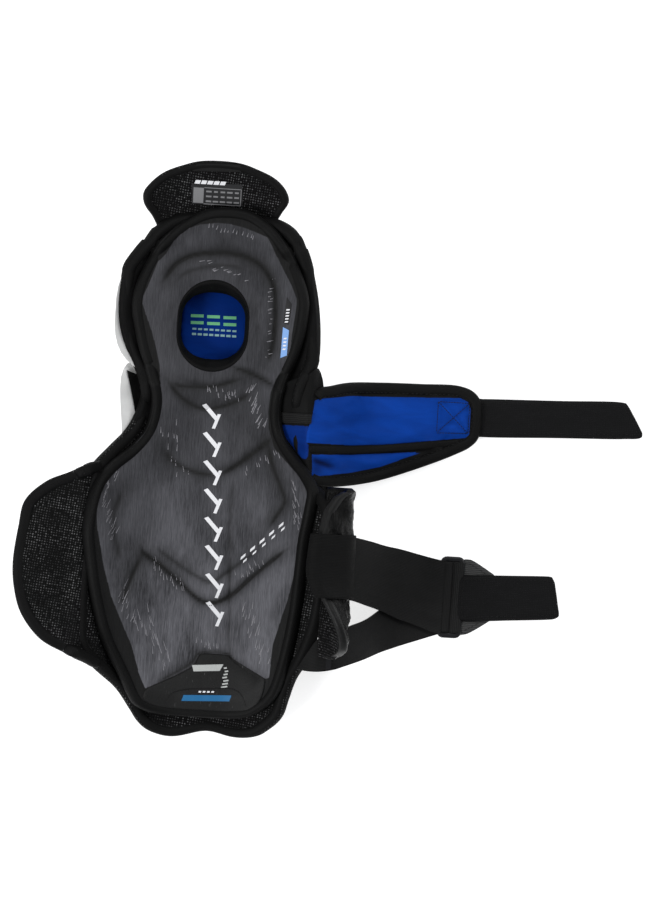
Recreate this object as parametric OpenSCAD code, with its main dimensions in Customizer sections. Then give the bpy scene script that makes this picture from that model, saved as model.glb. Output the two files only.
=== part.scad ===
// Junior ice hockey shin guard, lying on its front with its straps spread open.
// X runs across the leg, Y up the leg towards the knee, Z from the floor towards the leg.
// The origin is the middle of the flat front face of the insert on the shin cap.

/* [Plastic caps] */
// Wall of the moulded shin cap and kneecap
shell_t = 3; // [2:0.5:3.5]
// Thickness of the flat insert on the front of the shin cap
insert_t = 3; // [2:0.5:4]
// Width of the flat front of the shin cap
front_w = 28; // [24:1:34]
// How fast the shin cap curves back at its sides, in 1/mm
side_curve = 0.0095; // [0.008:0.0005:0.011]
// Outer radius of the kneecap
knee_r = 100; // [98:1:106]
// Place of the kneecap's middle along the leg
knee_y = 178; // [174:1:182]
// Half width of the kneecap
knee_half_w = 74; // [68:1:76]
// Half height of the kneecap along the leg
knee_half_h = 50; // [46:1:52]

/* [Soft parts] */
// Thickness of the foam carrier behind the shin cap
carrier_t = 8.7; // [7:0.1:9]
// Thickness of the removable liner
liner_t = 12; // [9:0.5:13]
// Space between carrier and liner that the hook strips fill
liner_gap = 2.4; // [2.2:0.1:3]
// Width of the sewn edge binding
bind_w = 5; // [4:0.5:6]
// Radius of the ends of the knee opening
cup_r = 27; // [24:1:28]
// Straight length between the two ends of the knee opening
cup_straight = 13; // [10:1:16]
// Thickness of the calf wings
wing_t = 7; // [5:0.5:7]
// Tilt of the left calf wing above level, in degrees
wing_tilt = 12; // [5:1:20]
// Tilt of the thigh flap above level, in degrees
flap_tilt = 25; // [20:1:27]

/* [Straps] */
// Thickness of the padded upper strap
strap_t = 8; // [6:0.5:9]
// Thickness of the hook tabs
tab_t = 2.4; // [2:0.2:3]
// Thickness of the elastic bands
band_t = 1.6; // [1.2:0.1:1.8]
// Bar width of the strap ring
ring_bar = 4; // [3:0.5:5]

/* [Hidden] */
$fn = 48;

white = "white";
charcoal = [0.25, 0.25, 0.27];
black = [0.08, 0.08, 0.09];
royal_blue = [0.06, 0.2, 0.65];
pale_grey = [0.7, 0.7, 0.72];
cyan_blue = [0.1, 0.5, 0.75];

gap = 0.3;
fit_gap = 0.2;
flat_half = front_w / 2;
knee_side_curve = 0.006;
curl_start = 62;
curl_rate = 0.012;
cap_top_z = insert_t + shell_t;
knee_in_r = knee_r - shell_t;
knee_centre_x = -3;
cup_centre_x = -4;
cup_centre_y = 171;
waist_y = 117;
waist_gap = 1.5;
patch_t = 1.2;
tag_t = 0.8;
print_gap = 0.6;
carrier_edge_t = 4.5;
dome_rim_drop = 56.6;
cup_reach = 52;
cup_edge_z = 43;
cup_wall_t = 5;
wing_gap = 2.6;
fabric_cols = 10;

function lerp(a, b, t) = a + (b - a) * t;
function clamp(v, low, high) = min(high, max(low, v));
function smooth(a, b, v) = let (t = clamp((v - a) / (b - a), 0, 1)) t * t * (3 - 2 * t);

// A curve through rows: a new row halfway between each pair, on a Catmull-Rom curve
function halfway(r, i) = let (last = len(r) - 1)
    (9 * r[i] + 9 * r[i + 1] - r[max(0, i - 1)] - r[min(last, i + 2)]) / 16;
function refine(r) = [for (i = [0:len(r) - 1]) each (i < len(r) - 1 ? [r[i], halfway(r, i)] : [r[i]])];
function mirrored(right) = concat(right, [for (i = [len(right) - 2:-1:1]) [-right[i][0], right[i][1]]]);

// Heights of the pad's layers above the floor
function side_rise(x) = side_curve * pow(max(0, abs(x) - flat_half), 2);
function right_curl(x) = curl_rate * pow(max(0, x - curl_start), 2);
function cap_z(x) = insert_t + side_rise(x);
function dome_z(x, y, r) = knee_r - sqrt(max(pow(r, 2) - pow(x, 2) - pow(y - knee_y, 2), pow(dome_rim_drop, 2)));
function cup_floor_z(x, y) = dome_z(x, clamp(y, knee_y - cup_reach, knee_y + cup_reach), knee_in_r - gap);
function knee_mid_z(y) = lookup(y, [[100, 24], [200, 26], [236, 27.6]]);
function knee_top_z(x, y) = max(knee_mid_z(y) + knee_side_curve * pow(max(0, abs(x) - flat_half), 2),
    min(cup_floor_z(x, y), cup_edge_z) + cup_wall_t);
function shin_top_z(x) = cap_top_z + gap + carrier_t + side_rise(x) + right_curl(x);
function carrier_top_z(x, y) = lerp(shin_top_z(x), knee_top_z(x, y), smooth(88, 132, y));
function flap_lift(y) = lookup(y, [[225, 0], [240, 4.5], [260, 12]]);

shin_carrier_lo = function (x, y) cap_top_z + gap + side_rise(x) + right_curl(x);
carrier_up = function (x, y) carrier_top_z(x, y);
knee_carrier_lo = function (x, y) min(cup_floor_z(x, y), carrier_top_z(x, y) - carrier_edge_t);
liner_lo = function (x, y) carrier_top_z(x, y) + liner_gap + flap_lift(y);
liner_up = function (x, y) liner_lo(x, y) + liner_t - lookup(y, [[235, 0], [258, 4]]);
panel_lo = function (x, y) liner_up(x, y) + print_gap;
panel_up = function (x, y) panel_lo(x, y) + patch_t;

// Outlines as rows of [place along the slab, left edge, right edge]
shin_carrier_rows = refine([[-128, -30, 42], [-122, -38, 52], [-112, -46, 61], [-98, -57, 65],
    [-84, -75, 69], [-70, -88, 76], [-40, -91, 85], [0, -91, 88], [45, -90, 88], [57, -88, 80],
    [66, -84, 70], [80, -73, 68], [92, -63, 66], [104, -56, 65], [waist_y, -54, 64]]);
knee_carrier_rows = refine([[waist_y + waist_gap, -53, 58], [128, -57, 63], [140, -62.5, 69],
    [152, -67, 72], [170, -70, 72], [192, -71.5, 69.5], [210, -70, 65.5], [222, -64, 62],
    [230, -58, 58.5], [236, -52, 55]]);
liner_shin_rows = refine([[-120, -33, 36], [-112, -49, 49], [-92, -58, 61], [-62, -72, 66],
    [-32, -80, 69], [0, -86, 71], [18, -88, 73], [40, -86, 76], [56, -81, 77], [68, -72, 71],
    [80, -59, 63], [92, -49, 55], [104, -45, 50], [waist_y, -46, 48]]);
liner_knee_rows = refine([[waist_y + waist_gap, -47, 48], [132, -51, 49], [150, -57, 54],
    [165, -61, 61], [180, -64, 64], [194, -62, 63], [212, -56, 57], [230, -47, 48],
    [246, -33, 36], [256, -14, 18]]);
flap_root_y = 239;
flap_rows = refine([[flap_root_y, -49, 36], [248, -54, 36], [256, -60, 40], [264, -61, 44.5],
    [272, -56, 42], [280, -47, 33], [286, -34, 20], [289.5, -20, 6]]);
wing_root_x = -94.5;
left_wing_rows = refine([[-75, -102, wing_root_x], [-71, -105, wing_root_x], [-64, -116, wing_root_x],
    [-46, -131, wing_root_x], [-28, -137, wing_root_x], [-10, -139, wing_root_x],
    [17, -136.5, wing_root_x], [36, -133, wing_root_x], [51, -118, wing_root_x],
    [58, -106, wing_root_x], [62, -101, wing_root_x]]);
panel_rows = refine([[-113, -38, 40], [-104, -45, 46], [-94, -36, 40], [-84, -14, 20]]);

// A slab of cloth or foam between two height functions. Rows run along Y or along X.
function slab_ring(row, lo, up, cols, along) = let (
    at = function (j) let (t = lerp(row[1], row[2], j / cols)) along == "y" ? [t, row[0]] : [row[0], t])
    concat([for (j = [0:cols]) let (p = at(j)) [p[0], p[1], lo(p[0], p[1])]],
        [for (j = [cols:-1:0]) let (p = at(j)) [p[0], p[1], up(p[0], p[1])]]);

function two_faces(a, b, c, d) = [[a, b, c], [a, c, d]];

// Cross-sections of an even number of points, joined into one solid. A cross-section goes
// once along its lower side and back along its upper side.
module loft(rings) {
    n = len(rings);
    m = len(rings[0]);
    far = (n - 1) * m;
    sides = [for (i = [0:n - 2]) for (j = [0:m - 1])
        each two_faces(i * m + j, i * m + (j + 1) % m, (i + 1) * m + (j + 1) % m, (i + 1) * m + j)];
    near_end = [for (j = [0:m / 2 - 2]) each two_faces(m - 1 - j, m - 2 - j, j + 1, j)];
    far_end = [for (j = [0:m / 2 - 2])
        each two_faces(far + j, far + j + 1, far + m - 2 - j, far + m - 1 - j)];
    polyhedron([for (ring = rings) each ring], concat(sides, near_end, far_end), convexity = 6);
}

module slab(rows, lo, up, cols = fabric_cols, along = "y") {
    loft([for (row = rows) slab_ring(row, lo, up, cols, along)]);
}

// The rows drawn in by w, with the first and the last row drawn in by their own amounts
function inset(rows, w, first, last, right = 1) = let (
    s0 = rows[0][0],
    s1 = rows[len(rows) - 1][0],
    k = rows[0][2] > rows[0][1] ? 1 : -1)
    [for (r = rows) [lerp(s0 + first, s1 - last, (r[0] - s0) / (s1 - s0)), r[1] + k * w,
        r[2] - k * w * right]];

// One cross-section of a binding, between an inner and an outer edge point
function strip_ring(inner, outer, lo, up, along) = let (
    i = along == "y" ? inner : [inner[1], inner[0]],
    o = along == "y" ? outer : [outer[1], outer[0]])
    [[o[0], o[1], lo(o[0], o[1])], [i[0], i[1], lo(i[0], i[1])],
        [i[0], i[1], up(i[0], i[1])], [o[0], o[1], up(o[0], o[1])]];

// A sewn binding round a slab, open at its first row, at its last row, or along its left edge only
module binding(rows, lo, up, open = "first", along = "y") {
    last = len(rows) - 1;
    in_first = open == "last" ? bind_w - fit_gap : 0;
    in_last = open == "first" ? bind_w - fit_gap : 0;
    inner = inset(rows, bind_w - fit_gap, in_first, in_last);
    across = function (i, t) strip_ring([lerp(inner[i][1], inner[i][2], t), inner[i][0]],
        [lerp(rows[i][1], rows[i][2], t), rows[i][0]], lo, up, along);
    left = [for (i = [0:last]) across(i, 0)];
    right_back = [for (i = [last:-1:0]) across(i, 1)];
    if (open == "first")
        loft(concat(left, [for (j = [1:fabric_cols - 1]) across(last, j / fabric_cols)], right_back));
    else if (open == "last")
        loft(concat(right_back, [for (j = [1:fabric_cols - 1]) across(0, j / fabric_cols)], left));
    else
        loft(left);
}

module cup_stadium(r, z0, z1) {
    translate([cup_centre_x, cup_centre_y, z0]) {
        for (end = [-1, 1]) translate([0, end * cup_straight / 2, 0]) cylinder(h = z1 - z0, r = r);
        translate([-r, -cup_straight / 2, 0]) cube([2 * r, cup_straight, z1 - z0]);
    }
}

// Plastic caps

shin_cap_outline = mirrored(refine([[0, 108], [28, 109], [44, 116], [53, 130], [59, 140], [66, 140],
    [70, 130], [69.5, 112], [67, 90], [66, 60], [64, 25], [60, -20], [52, -65], [44, -95], [33, -113],
    [16, -119], [0, -120]]));
section_x = [for (x = [-80:4:80]) x];
shin_rivet_spots = [[-44, 78], [44, 78], [-46, -8], [46, -8], [-30, -92], [30, -92]];
rivet_shank_r = 2.2;
rivet_head_r = 4;
rivet_head_t = 1.5;
rivet_hole_from = -6;
rivet_hole_h = 14;
shell_cut_y = 160;
shell_cut_length = 300;
shell_cut_h = 80;

module rivet_hole() {
    translate([0, 0, rivet_hole_from]) cylinder(h = rivet_hole_h, r = rivet_shank_r);
}

module at_shin_rivets() {
    for (spot = shin_rivet_spots)
        let (slope = atan(2 * side_curve * (abs(spot[0]) - flat_half)) * sign(spot[0]))
            translate([spot[0], spot[1], cap_z(spot[0])]) rotate([0, -slope, 0]) children();
}

module shin_cap_shell() {
    color(white) difference() {
        intersection() {
            translate([0, shell_cut_y, 0]) rotate([90, 0, 0]) linear_extrude(shell_cut_length)
                polygon(concat([for (x = section_x) [x, cap_z(x)]],
                    [for (i = [len(section_x) - 1:-1:0]) [section_x[i], cap_z(section_x[i]) + shell_t]]));
            linear_extrude(shell_cut_h) polygon(shin_cap_outline);
        }
        at_shin_rivets() rivet_hole();
    }
}

module shin_cap_insert() {
    half = flat_half - 1;
    color(royal_blue) linear_extrude(insert_t)
        polygon([[-half, -70], [-half / 2, -86], [half / 2, -86], [half, -70], [half, 70], [half / 2, 84],
            [-half / 2, 84], [-half, 70]]);
}

module rivet() {
    translate([0, 0, -rivet_head_t]) cylinder(h = rivet_head_t, r = rivet_head_r);
    cylinder(h = shell_t - 0.5, r = rivet_shank_r);
}

module shin_cap_rivets() {
    color(black) at_shin_rivets() rivet();
}

knee_rivet_turns = [35, 145, 215, 325];
knee_rivet_angle = 33;
knee_cut_h = 70;

module at_knee_rivets() {
    for (turn = knee_rivet_turns)
        translate([0, knee_y, knee_r]) rotate([0, 0, turn]) rotate([0, -knee_rivet_angle, 0])
            translate([0, 0, -knee_r]) children();
}

module kneecap_shell() {
    power = 3;
    outline = [for (a = [0:8:352]) [
        knee_centre_x + knee_half_w * sign(cos(a)) * pow(abs(cos(a)), 2 / power),
        knee_y + knee_half_h * sign(sin(a)) * pow(abs(sin(a)), 2 / power)]];
    color(white) difference() {
        intersection() {
            translate([0, knee_y, knee_r]) difference() {
                sphere(r = knee_r, $fn = 96);
                sphere(r = knee_in_r, $fn = 96);
            }
            linear_extrude(knee_cut_h) polygon(outline);
        }
        at_knee_rivets() rivet_hole();
    }
}

module kneecap_rivets() {
    color(black) at_knee_rivets() rivet();
}

// Foam carrier

module shin_carrier() {
    color(black) slab(inset(shin_carrier_rows, bind_w, bind_w, 0), shin_carrier_lo, carrier_up);
}

module shin_carrier_binding() {
    color(black) binding(shin_carrier_rows, shin_carrier_lo, carrier_up, "last");
}

module knee_carrier() {
    color(black) difference() {
        slab(inset(knee_carrier_rows, bind_w, 0, bind_w), knee_carrier_lo, carrier_up);
        cup_stadium(cup_r + 0.5, -5, 80);
    }
}

module knee_carrier_binding() {
    color(black) binding(knee_carrier_rows, knee_carrier_lo, carrier_up, "first");
}

module knee_cup_pad() {
    color(royal_blue) intersection() {
        cup_stadium(cup_r - 1, 2, 18);
        translate([0, knee_y, knee_r]) sphere(r = knee_in_r - 2 * gap, $fn = 96);
    }
}

// Thigh flap

flap_slope = tan(flap_tilt);
flap_t = 5;
flap_root_z = 21.5;
flap_lo = function (x, y) flap_root_z + (y - flap_root_y) * flap_slope
    + knee_side_curve * pow(max(0, abs(x) - flat_half), 2);
flap_up = function (x, y) flap_lo(x, y) + flap_t;

module thigh_flap_pad() {
    color(black) slab(inset(flap_rows, bind_w, 0, bind_w), flap_lo, flap_up);
}

module thigh_flap_binding() {
    color(black) binding(flap_rows, flap_lo, flap_up, "first");
}

flap_label_rows = [[259, -26, 11], [274, -26, 11]];

module thigh_flap_label() {
    label_lo = function (x, y) flap_up(x, y) + fit_gap;
    label_up = function (x, y) label_lo(x, y) + tag_t;
    color(pale_grey) slab(flap_label_rows, label_lo, label_up, 4);
}

// Calf wings

wing_top_z = 69;
wing_slope = tan(wing_tilt);
left_wing_up = function (x, y) wing_top_z + (wing_root_x - x) * wing_slope;
left_wing_lo = function (x, y) left_wing_up(x, y) - wing_t;

module left_wing_pad() {
    color(black) slab(inset(left_wing_rows, bind_w, bind_w, bind_w, 0), left_wing_lo, left_wing_up, 5);
}

module left_wing_binding() {
    color(black) binding(left_wing_rows, left_wing_lo, left_wing_up, "root");
}

module loop_patch(y0, y1) {
    patch_lo = function (x, y) left_wing_lo(x, y) - gap / 2 - patch_t;
    patch_up = function (x, y) left_wing_lo(x, y) - gap / 2;
    color(charcoal) slab([[y0, -130, -98], [y1, -130, -98]], patch_lo, patch_up, 2);
}

module upper_loop_patch() {
    loop_patch(6, 36);
}

module lower_loop_patch() {
    loop_patch(-38, -8);
}

// The right wing's section leaves its root, bends over bend_len and then runs straight.
// Each row is [y, length, angle at the root, angle at the free edge].
right_root = [91, 67];
bend_len = 31.8;
right_wing_rows = refine([[-66, 18, 60, 75], [-58, 38, 55, 80], [-45, 48, 40, 95], [-30, 54, 20, 115],
    [-15, 56, 10, 132], [0, 56, 10, 140], [22, 54, 10, 140], [42, 50, 10, 138], [52, 44, 12, 132],
    [59, 34, 18, 120]]);

function bend_point(s, a0, a1, out) = let (
    bend = min(s, bend_len),
    rate = (a1 - a0) / bend_len,
    a = a0 + rate * bend,
    radius = 180 / (PI * rate),
    straight = s - bend)
    [right_root[0] + radius * (sin(a) - sin(a0)) + straight * cos(a) + out * sin(a),
        right_root[1] + radius * (cos(a0) - cos(a)) + straight * sin(a) - out * cos(a)];

function wing_ring(row, from, to, inside, outside, steps) = let (
    at = function (j, out) let (p = bend_point(lerp(from, to, j / steps), row[2], row[3], out))
        [p[0], row[0], p[1]])
    concat([for (j = [0:steps]) at(j, outside)], [for (j = [steps:-1:0]) at(j, inside)]);

wing_half_t = 3;

module right_wing_pad() {
    color(black) loft([for (row = right_wing_rows)
        wing_ring(row, 0, row[1] - bind_w, -wing_half_t, wing_half_t, 8)]);
}

module right_wing_binding() {
    color(black) loft([for (row = right_wing_rows)
        wing_ring(row, row[1] - bind_w + wing_gap, row[1], -wing_half_t, wing_half_t, 1)]);
}

module wing_elastic_patch() {
    rows = [for (row = right_wing_rows) if (row[0] > -20 && row[0] < 25) row];
    color(charcoal) loft([for (row = rows)
        wing_ring(row, 14, row[1] - bind_w - 1, wing_half_t + print_gap, wing_half_t + print_gap + patch_t, 6)]);
}

// Removable liner

module liner_shin_pad() {
    color(charcoal) slab(inset(liner_shin_rows, bind_w, bind_w, 0), liner_lo, liner_up);
}

module liner_shin_binding() {
    color(black) binding(liner_shin_rows, liner_lo, liner_up, "last");
}

module liner_knee_pad() {
    color(charcoal) difference() {
        slab(inset(liner_knee_rows, bind_w, 0, bind_w), liner_lo, liner_up);
        cup_stadium(cup_r, -5, 90);
    }
}

module liner_knee_binding() {
    color(black) binding(liner_knee_rows, liner_lo, liner_up, "first");
}

rim_z = [29, 43];
rim_t = 2;

module knee_opening_rim() {
    color(black) difference() {
        cup_stadium(cup_r - fit_gap, rim_z[0], rim_z[1]);
        cup_stadium(cup_r - rim_t, rim_z[0] - 1, rim_z[1] + 1);
    }
}

module abrasion_panel() {
    color(black) slab(panel_rows, panel_lo, panel_up);
}

hook_strip_size = [20, 45, 1.9];
hook_strip_rows = [-80, 10];

module liner_hook_strips() {
    top = cap_top_z + gap + carrier_t + liner_gap - 0.05;
    for (y = hook_strip_rows)
        color(black) translate([-hook_strip_size[0] / 2, y, top - hook_strip_size[2]]) cube(hook_strip_size);
}

size_tag_rows = [[150, 42, 47], [162, 46, 52], [186, 50, 56]];

module liner_size_tag() {
    tag_lo = function (x, y) liner_up(x, y) + print_gap;
    tag_up = function (x, y) tag_lo(x, y) + tag_t;
    color(cyan_blue) slab(size_tag_rows, tag_lo, tag_up, 2);
}

// Upper strap: a padded wrap that ends in a hook tab. Rows are [x, far edge, near edge] in Y.

strap_root_x = 83;
strap_hinge_z = 41.5;
strap_rows = refine([[strap_root_x, 131, 59], [96, 135.5, 60], [120, 137, 65], [150, 138, 76],
    [178, 138.5, 88.5], [189, 134.5, 95], [194, 128, 102]]);
function strap_floor_z(x) = lookup(x, [[strap_root_x, 31], [90, 25], [100, 15], [112, 6], [124, 1.5],
    [136, 0.4], [200, 0.4]]);
strap_lo = function (x, y) strap_floor_z(x);
strap_up = function (x, y) strap_floor_z(x) + lookup(x, [[83, strap_t], [160, strap_t], [194, strap_t - 2]]);

upper_anchor_at = [70, 68, 33];
upper_anchor_size = [11, 43, 3.6];
upper_tab_z = 1;

module upper_strap_anchor() {
    color(black) translate(upper_anchor_at) cube(upper_anchor_size);
}

module upper_strap_pad() {
    color(royal_blue) slab(inset(strap_rows, bind_w, 0, bind_w), strap_lo, strap_up, 4, "x");
}

module upper_strap_binding() {
    color(black) binding(strap_rows, strap_lo, strap_up, "first", "x");
}

module upper_hook_tab() {
    color(black) translate([0, 0, upper_tab_z]) linear_extrude(tab_t)
        polygon([[195, 102], [309, 107.5], [314, 111], [312.5, 117], [302, 132], [298, 134], [195, 130]]);
}

// Lower strap: two elastic legs that meet at a ring, and a hook tab beyond it

band_root_x = 100;
function upper_leg_z(x) = lookup(x, [[band_root_x, 57], [108, 50], [118, 38], [130, 22], [142, 10.5],
    [156, 4.6], [171, 3.6]]);
function lower_leg_z(x) = lookup(x, [[97, 52], [105, 46], [118, 31], [130, 15], [142, 5], [156, 1.2],
    [171, 0.5]]);
upper_leg_lo = function (x, y) upper_leg_z(x);
upper_leg_up = function (x, y) upper_leg_z(x) + band_t;
lower_leg_lo = function (x, y) lower_leg_z(x);
lower_leg_up = function (x, y) lower_leg_z(x) + band_t;

lower_anchor_at = [91, -74, 48];
lower_anchor_size = [5, 96, 8];

module lower_strap_anchor() {
    color(black) translate(lower_anchor_at) cube(lower_anchor_size);
}

module lower_strap_upper_leg() {
    color(charcoal) slab(refine([[band_root_x, 24, -22], [108, 23, -23], [118, 21, -26], [130, 18, -30],
        [142, 16, -35], [156, 13, -39], [171, 10, -44]]), upper_leg_lo, upper_leg_up, 2, "x");
}

module lower_strap_lower_leg() {
    color(charcoal) slab(refine([[98, -50, -73], [105, -43, -70], [118, -37, -65], [130, -28, -60.5],
        [142, -18, -56], [156, -6, -51], [171, 5, -46]]), lower_leg_lo, lower_leg_up, 2, "x");
}

ring_x = [172, 190];
ring_y = [-47, 13];
ring_z = 0.4;
ring_t = 3.4;

module strap_ring() {
    color(black) difference() {
        translate([ring_x[0], ring_y[0], ring_z]) cube([ring_x[1] - ring_x[0], ring_y[1] - ring_y[0], ring_t]);
        translate([ring_x[0] + ring_bar, ring_y[0] + ring_bar, -1])
            cube([ring_x[1] - ring_x[0] - 2 * ring_bar, ring_y[1] - ring_y[0] - 2 * ring_bar, 10]);
    }
}

module strap_yoke() {
    color(charcoal) translate([0, 0, ring_z]) linear_extrude(band_t)
        polygon([[191, 11], [212, 2], [212, -31], [191, -44]]);
}

module lower_hook_tab() {
    color(black) translate([0, 0, ring_z + band_t + fit_gap]) linear_extrude(tab_t)
        polygon([[191, 0], [252, 3], [255.5, 1], [261.5, -24.5], [258, -29], [191, -34]]);
}

shin_cap_shell();
shin_cap_insert();
shin_cap_rivets();
kneecap_shell();
kneecap_rivets();
shin_carrier();
shin_carrier_binding();
knee_carrier();
knee_carrier_binding();
knee_cup_pad();
thigh_flap_pad();
thigh_flap_binding();
thigh_flap_label();
left_wing_pad();
left_wing_binding();
upper_loop_patch();
lower_loop_patch();
right_wing_pad();
right_wing_binding();
wing_elastic_patch();
liner_shin_pad();
liner_shin_binding();
liner_knee_pad();
liner_knee_binding();
knee_opening_rim();
abrasion_panel();
liner_hook_strips();
liner_size_tag();
upper_strap_anchor();
upper_strap_pad();
upper_strap_binding();
upper_hook_tab();
lower_strap_anchor();
lower_strap_upper_leg();
lower_strap_lower_leg();
strap_ring();
strap_yoke();
lower_hook_tab();
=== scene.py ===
"""Junior ice hockey shin guard, lying on its front with its straps spread open.

The shapes are worked out in millimetres, in the frame's axes: X across the leg, Y up the leg,
Z from the floor towards the leg. add_mesh() turns them into metres.
"""
import math
import random

import bmesh
import bpy
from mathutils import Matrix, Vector
from mathutils.kdtree import KDTree
from mathutils.noise import noise as perlin


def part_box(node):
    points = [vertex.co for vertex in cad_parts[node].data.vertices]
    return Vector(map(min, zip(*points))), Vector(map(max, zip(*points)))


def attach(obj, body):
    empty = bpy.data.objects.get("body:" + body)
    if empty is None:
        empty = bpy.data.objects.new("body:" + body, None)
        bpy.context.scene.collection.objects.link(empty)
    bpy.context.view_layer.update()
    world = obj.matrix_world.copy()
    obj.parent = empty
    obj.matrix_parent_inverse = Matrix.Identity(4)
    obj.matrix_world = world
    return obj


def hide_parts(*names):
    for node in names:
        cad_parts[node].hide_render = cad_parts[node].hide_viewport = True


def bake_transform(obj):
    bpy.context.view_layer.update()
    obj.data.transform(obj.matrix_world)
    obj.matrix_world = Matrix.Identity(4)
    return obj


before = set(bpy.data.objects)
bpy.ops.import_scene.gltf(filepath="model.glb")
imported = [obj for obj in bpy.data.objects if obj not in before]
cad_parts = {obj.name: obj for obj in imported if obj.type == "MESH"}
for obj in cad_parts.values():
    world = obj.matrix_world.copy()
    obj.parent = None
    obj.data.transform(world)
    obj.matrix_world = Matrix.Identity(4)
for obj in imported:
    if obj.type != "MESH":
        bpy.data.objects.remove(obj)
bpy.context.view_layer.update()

MM = 0.001
UV_MAP = "cloth"
UP = Vector((0, 0, 1))


def node_box(node):
    """The lowest and highest corners of a CAD node, in millimetres."""
    low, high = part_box(node)
    return Vector(low) / MM, Vector(high) / MM


# ---------------------------------------------------------------- numbers and curves

def lerp(a, b, t):
    return a + (b - a) * t


def clamp(value, low=0.0, high=1.0):
    return min(high, max(low, value))


def smooth(low, high, value):
    t = clamp((value - low) / (high - low))
    return t * t * (3 - 2 * t)


def lookup(value, table):
    """Linear steps through a table of (place, value), held at its ends."""
    if value <= table[0][0]:
        return table[0][1]
    for (x0, y0), (x1, y1) in zip(table, table[1:]):
        if value <= x1:
            return lerp(y0, y1, (value - x0) / (x1 - x0))
    return table[-1][1]


def bell(distance, width):
    return math.exp(-(distance / width) ** 2)


def catmull(p0, p1, p2, p3, t):
    """A point of the centripetal Catmull-Rom curve between p1 and p2."""
    knots = [0.0]
    for a, b in ((p0, p1), (p1, p2), (p2, p3)):
        knots.append(knots[-1] + max((b - a).length, 1e-4) ** 0.5)
    k0, k1, k2, k3 = knots
    u = lerp(k1, k2, t)
    a1 = p0.lerp(p1, (u - k0) / (k1 - k0))
    a2 = p1.lerp(p2, (u - k1) / (k2 - k1))
    a3 = p2.lerp(p3, (u - k2) / (k3 - k2))
    b1 = a1.lerp(a2, (u - k0) / (k2 - k0))
    b2 = a2.lerp(a3, (u - k1) / (k3 - k1))
    return b1.lerp(b2, (u - k1) / (k2 - k1))


def resample(points, step, closed):
    """The same line with evenly spaced points."""
    line = points + points[:1] if closed else points
    lengths = [0.0]
    for a, b in zip(line, line[1:]):
        lengths.append(lengths[-1] + (b - a).length)
    count = max(3, round(lengths[-1] / step))
    out = []
    i = 0
    for k in range(count if closed else count + 1):
        target = lengths[-1] * k / count
        while i < len(lengths) - 2 and lengths[i + 1] < target:
            i += 1
        span = max(lengths[i + 1] - lengths[i], 1e-9)
        out.append(line[i].lerp(line[i + 1], clamp((target - lengths[i]) / span)))
    return out


def spline(points, step, closed=False):
    """Evenly spaced points on a smooth curve through the given ones."""
    points = [Vector(p) for p in points]
    n = len(points)

    def at(i):
        if closed:
            return points[i % n]
        if i < 0:
            return 2 * points[0] - points[1]
        if i >= n:
            return 2 * points[-1] - points[-2]
        return points[i]

    dense = []
    for i in range(n if closed else n - 1):
        parts = max(2, int((at(i + 1) - at(i)).length / step * 2))
        dense += [catmull(at(i - 1), at(i), at(i + 1), at(i + 2), k / parts) for k in range(parts)]
    if not closed:
        dense.append(points[-1])
    return resample(dense, step, closed)


class Outline:
    """A smooth closed outline, counter-clockwise, from rows of (place, left edge, right edge)."""

    def __init__(self, rows, step=1.0):
        right = [(row[2], row[0]) for row in rows]
        left = [(row[1], row[0]) for row in rows]
        self.points = spline(right + left[::-1], step, closed=True)
        self.tree = KDTree(len(self.points))
        for i, p in enumerate(self.points):
            self.tree.insert((p.x, p.y, 0), i)
        self.tree.balance()
        self.low = min(p.y for p in self.points)
        self.high = max(p.y for p in self.points)

    def distance(self, x, y):
        return self.tree.find((x, y, 0))[2]

    def span(self, y):
        """The leftmost and rightmost places at one row."""
        xs = []
        for a, b in zip(self.points, self.points[1:] + self.points[:1]):
            if (a.y <= y) != (b.y <= y):
                xs.append(lerp(a.x, b.x, (y - a.y) / (b.y - a.y)))
        return min(xs), max(xs)


class Region:
    """A closed outline with its corners kept, for painting one side of it."""

    def __init__(self, points):
        self.points = resample([Vector(p) for p in points], 0.8, closed=True)
        self.tree = KDTree(len(self.points))
        for i, p in enumerate(self.points):
            self.tree.insert((p.x, p.y, 0), i)
        self.tree.balance()

    def inside(self, x, y):
        """The distance inside the outline, less than zero outside it."""
        crossings = 0
        for a, b in zip(self.points, self.points[1:] + self.points[:1]):
            if (a.y <= y) != (b.y <= y) and x < lerp(a.x, b.x, (y - a.y) / (b.y - a.y)):
                crossings += 1
        away = self.tree.find((x, y, 0))[2]
        return away if crossings % 2 else -away


# ---------------------------------------------------------------- mesh builders

def add_mesh(name, vertices, faces, face_uvs, paints):
    """An object from places in millimetres, with its texture places in millimetres too."""
    mesh = bpy.data.meshes.new(name)
    mesh.from_pydata([Vector(v) * MM for v in vertices], [], faces)
    layer = mesh.uv_layers.new(name=UV_MAP)
    flat = [value for corners in face_uvs for uv in corners for value in uv[:2]]
    layer.data.foreach_set("uv", flat)
    for paint in paints:
        mesh.materials.append(paint)
    bm = bmesh.new()
    bm.from_mesh(mesh)
    bmesh.ops.recalc_face_normals(bm, faces=bm.faces)
    bm.to_mesh(mesh)
    bm.free()
    mesh.shade_smooth()
    obj = bpy.data.objects.new(name, mesh)
    bpy.context.scene.collection.objects.link(obj)
    return obj


def add_field(obj, name, value):
    """A number at every vertex, from its place in millimetres, for a material to read."""
    layer = obj.data.attributes.new(name, "FLOAT", "POINT")
    layer.data.foreach_set("value", [value(v.co.x / MM, v.co.y / MM) for v in obj.data.vertices])


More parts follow.
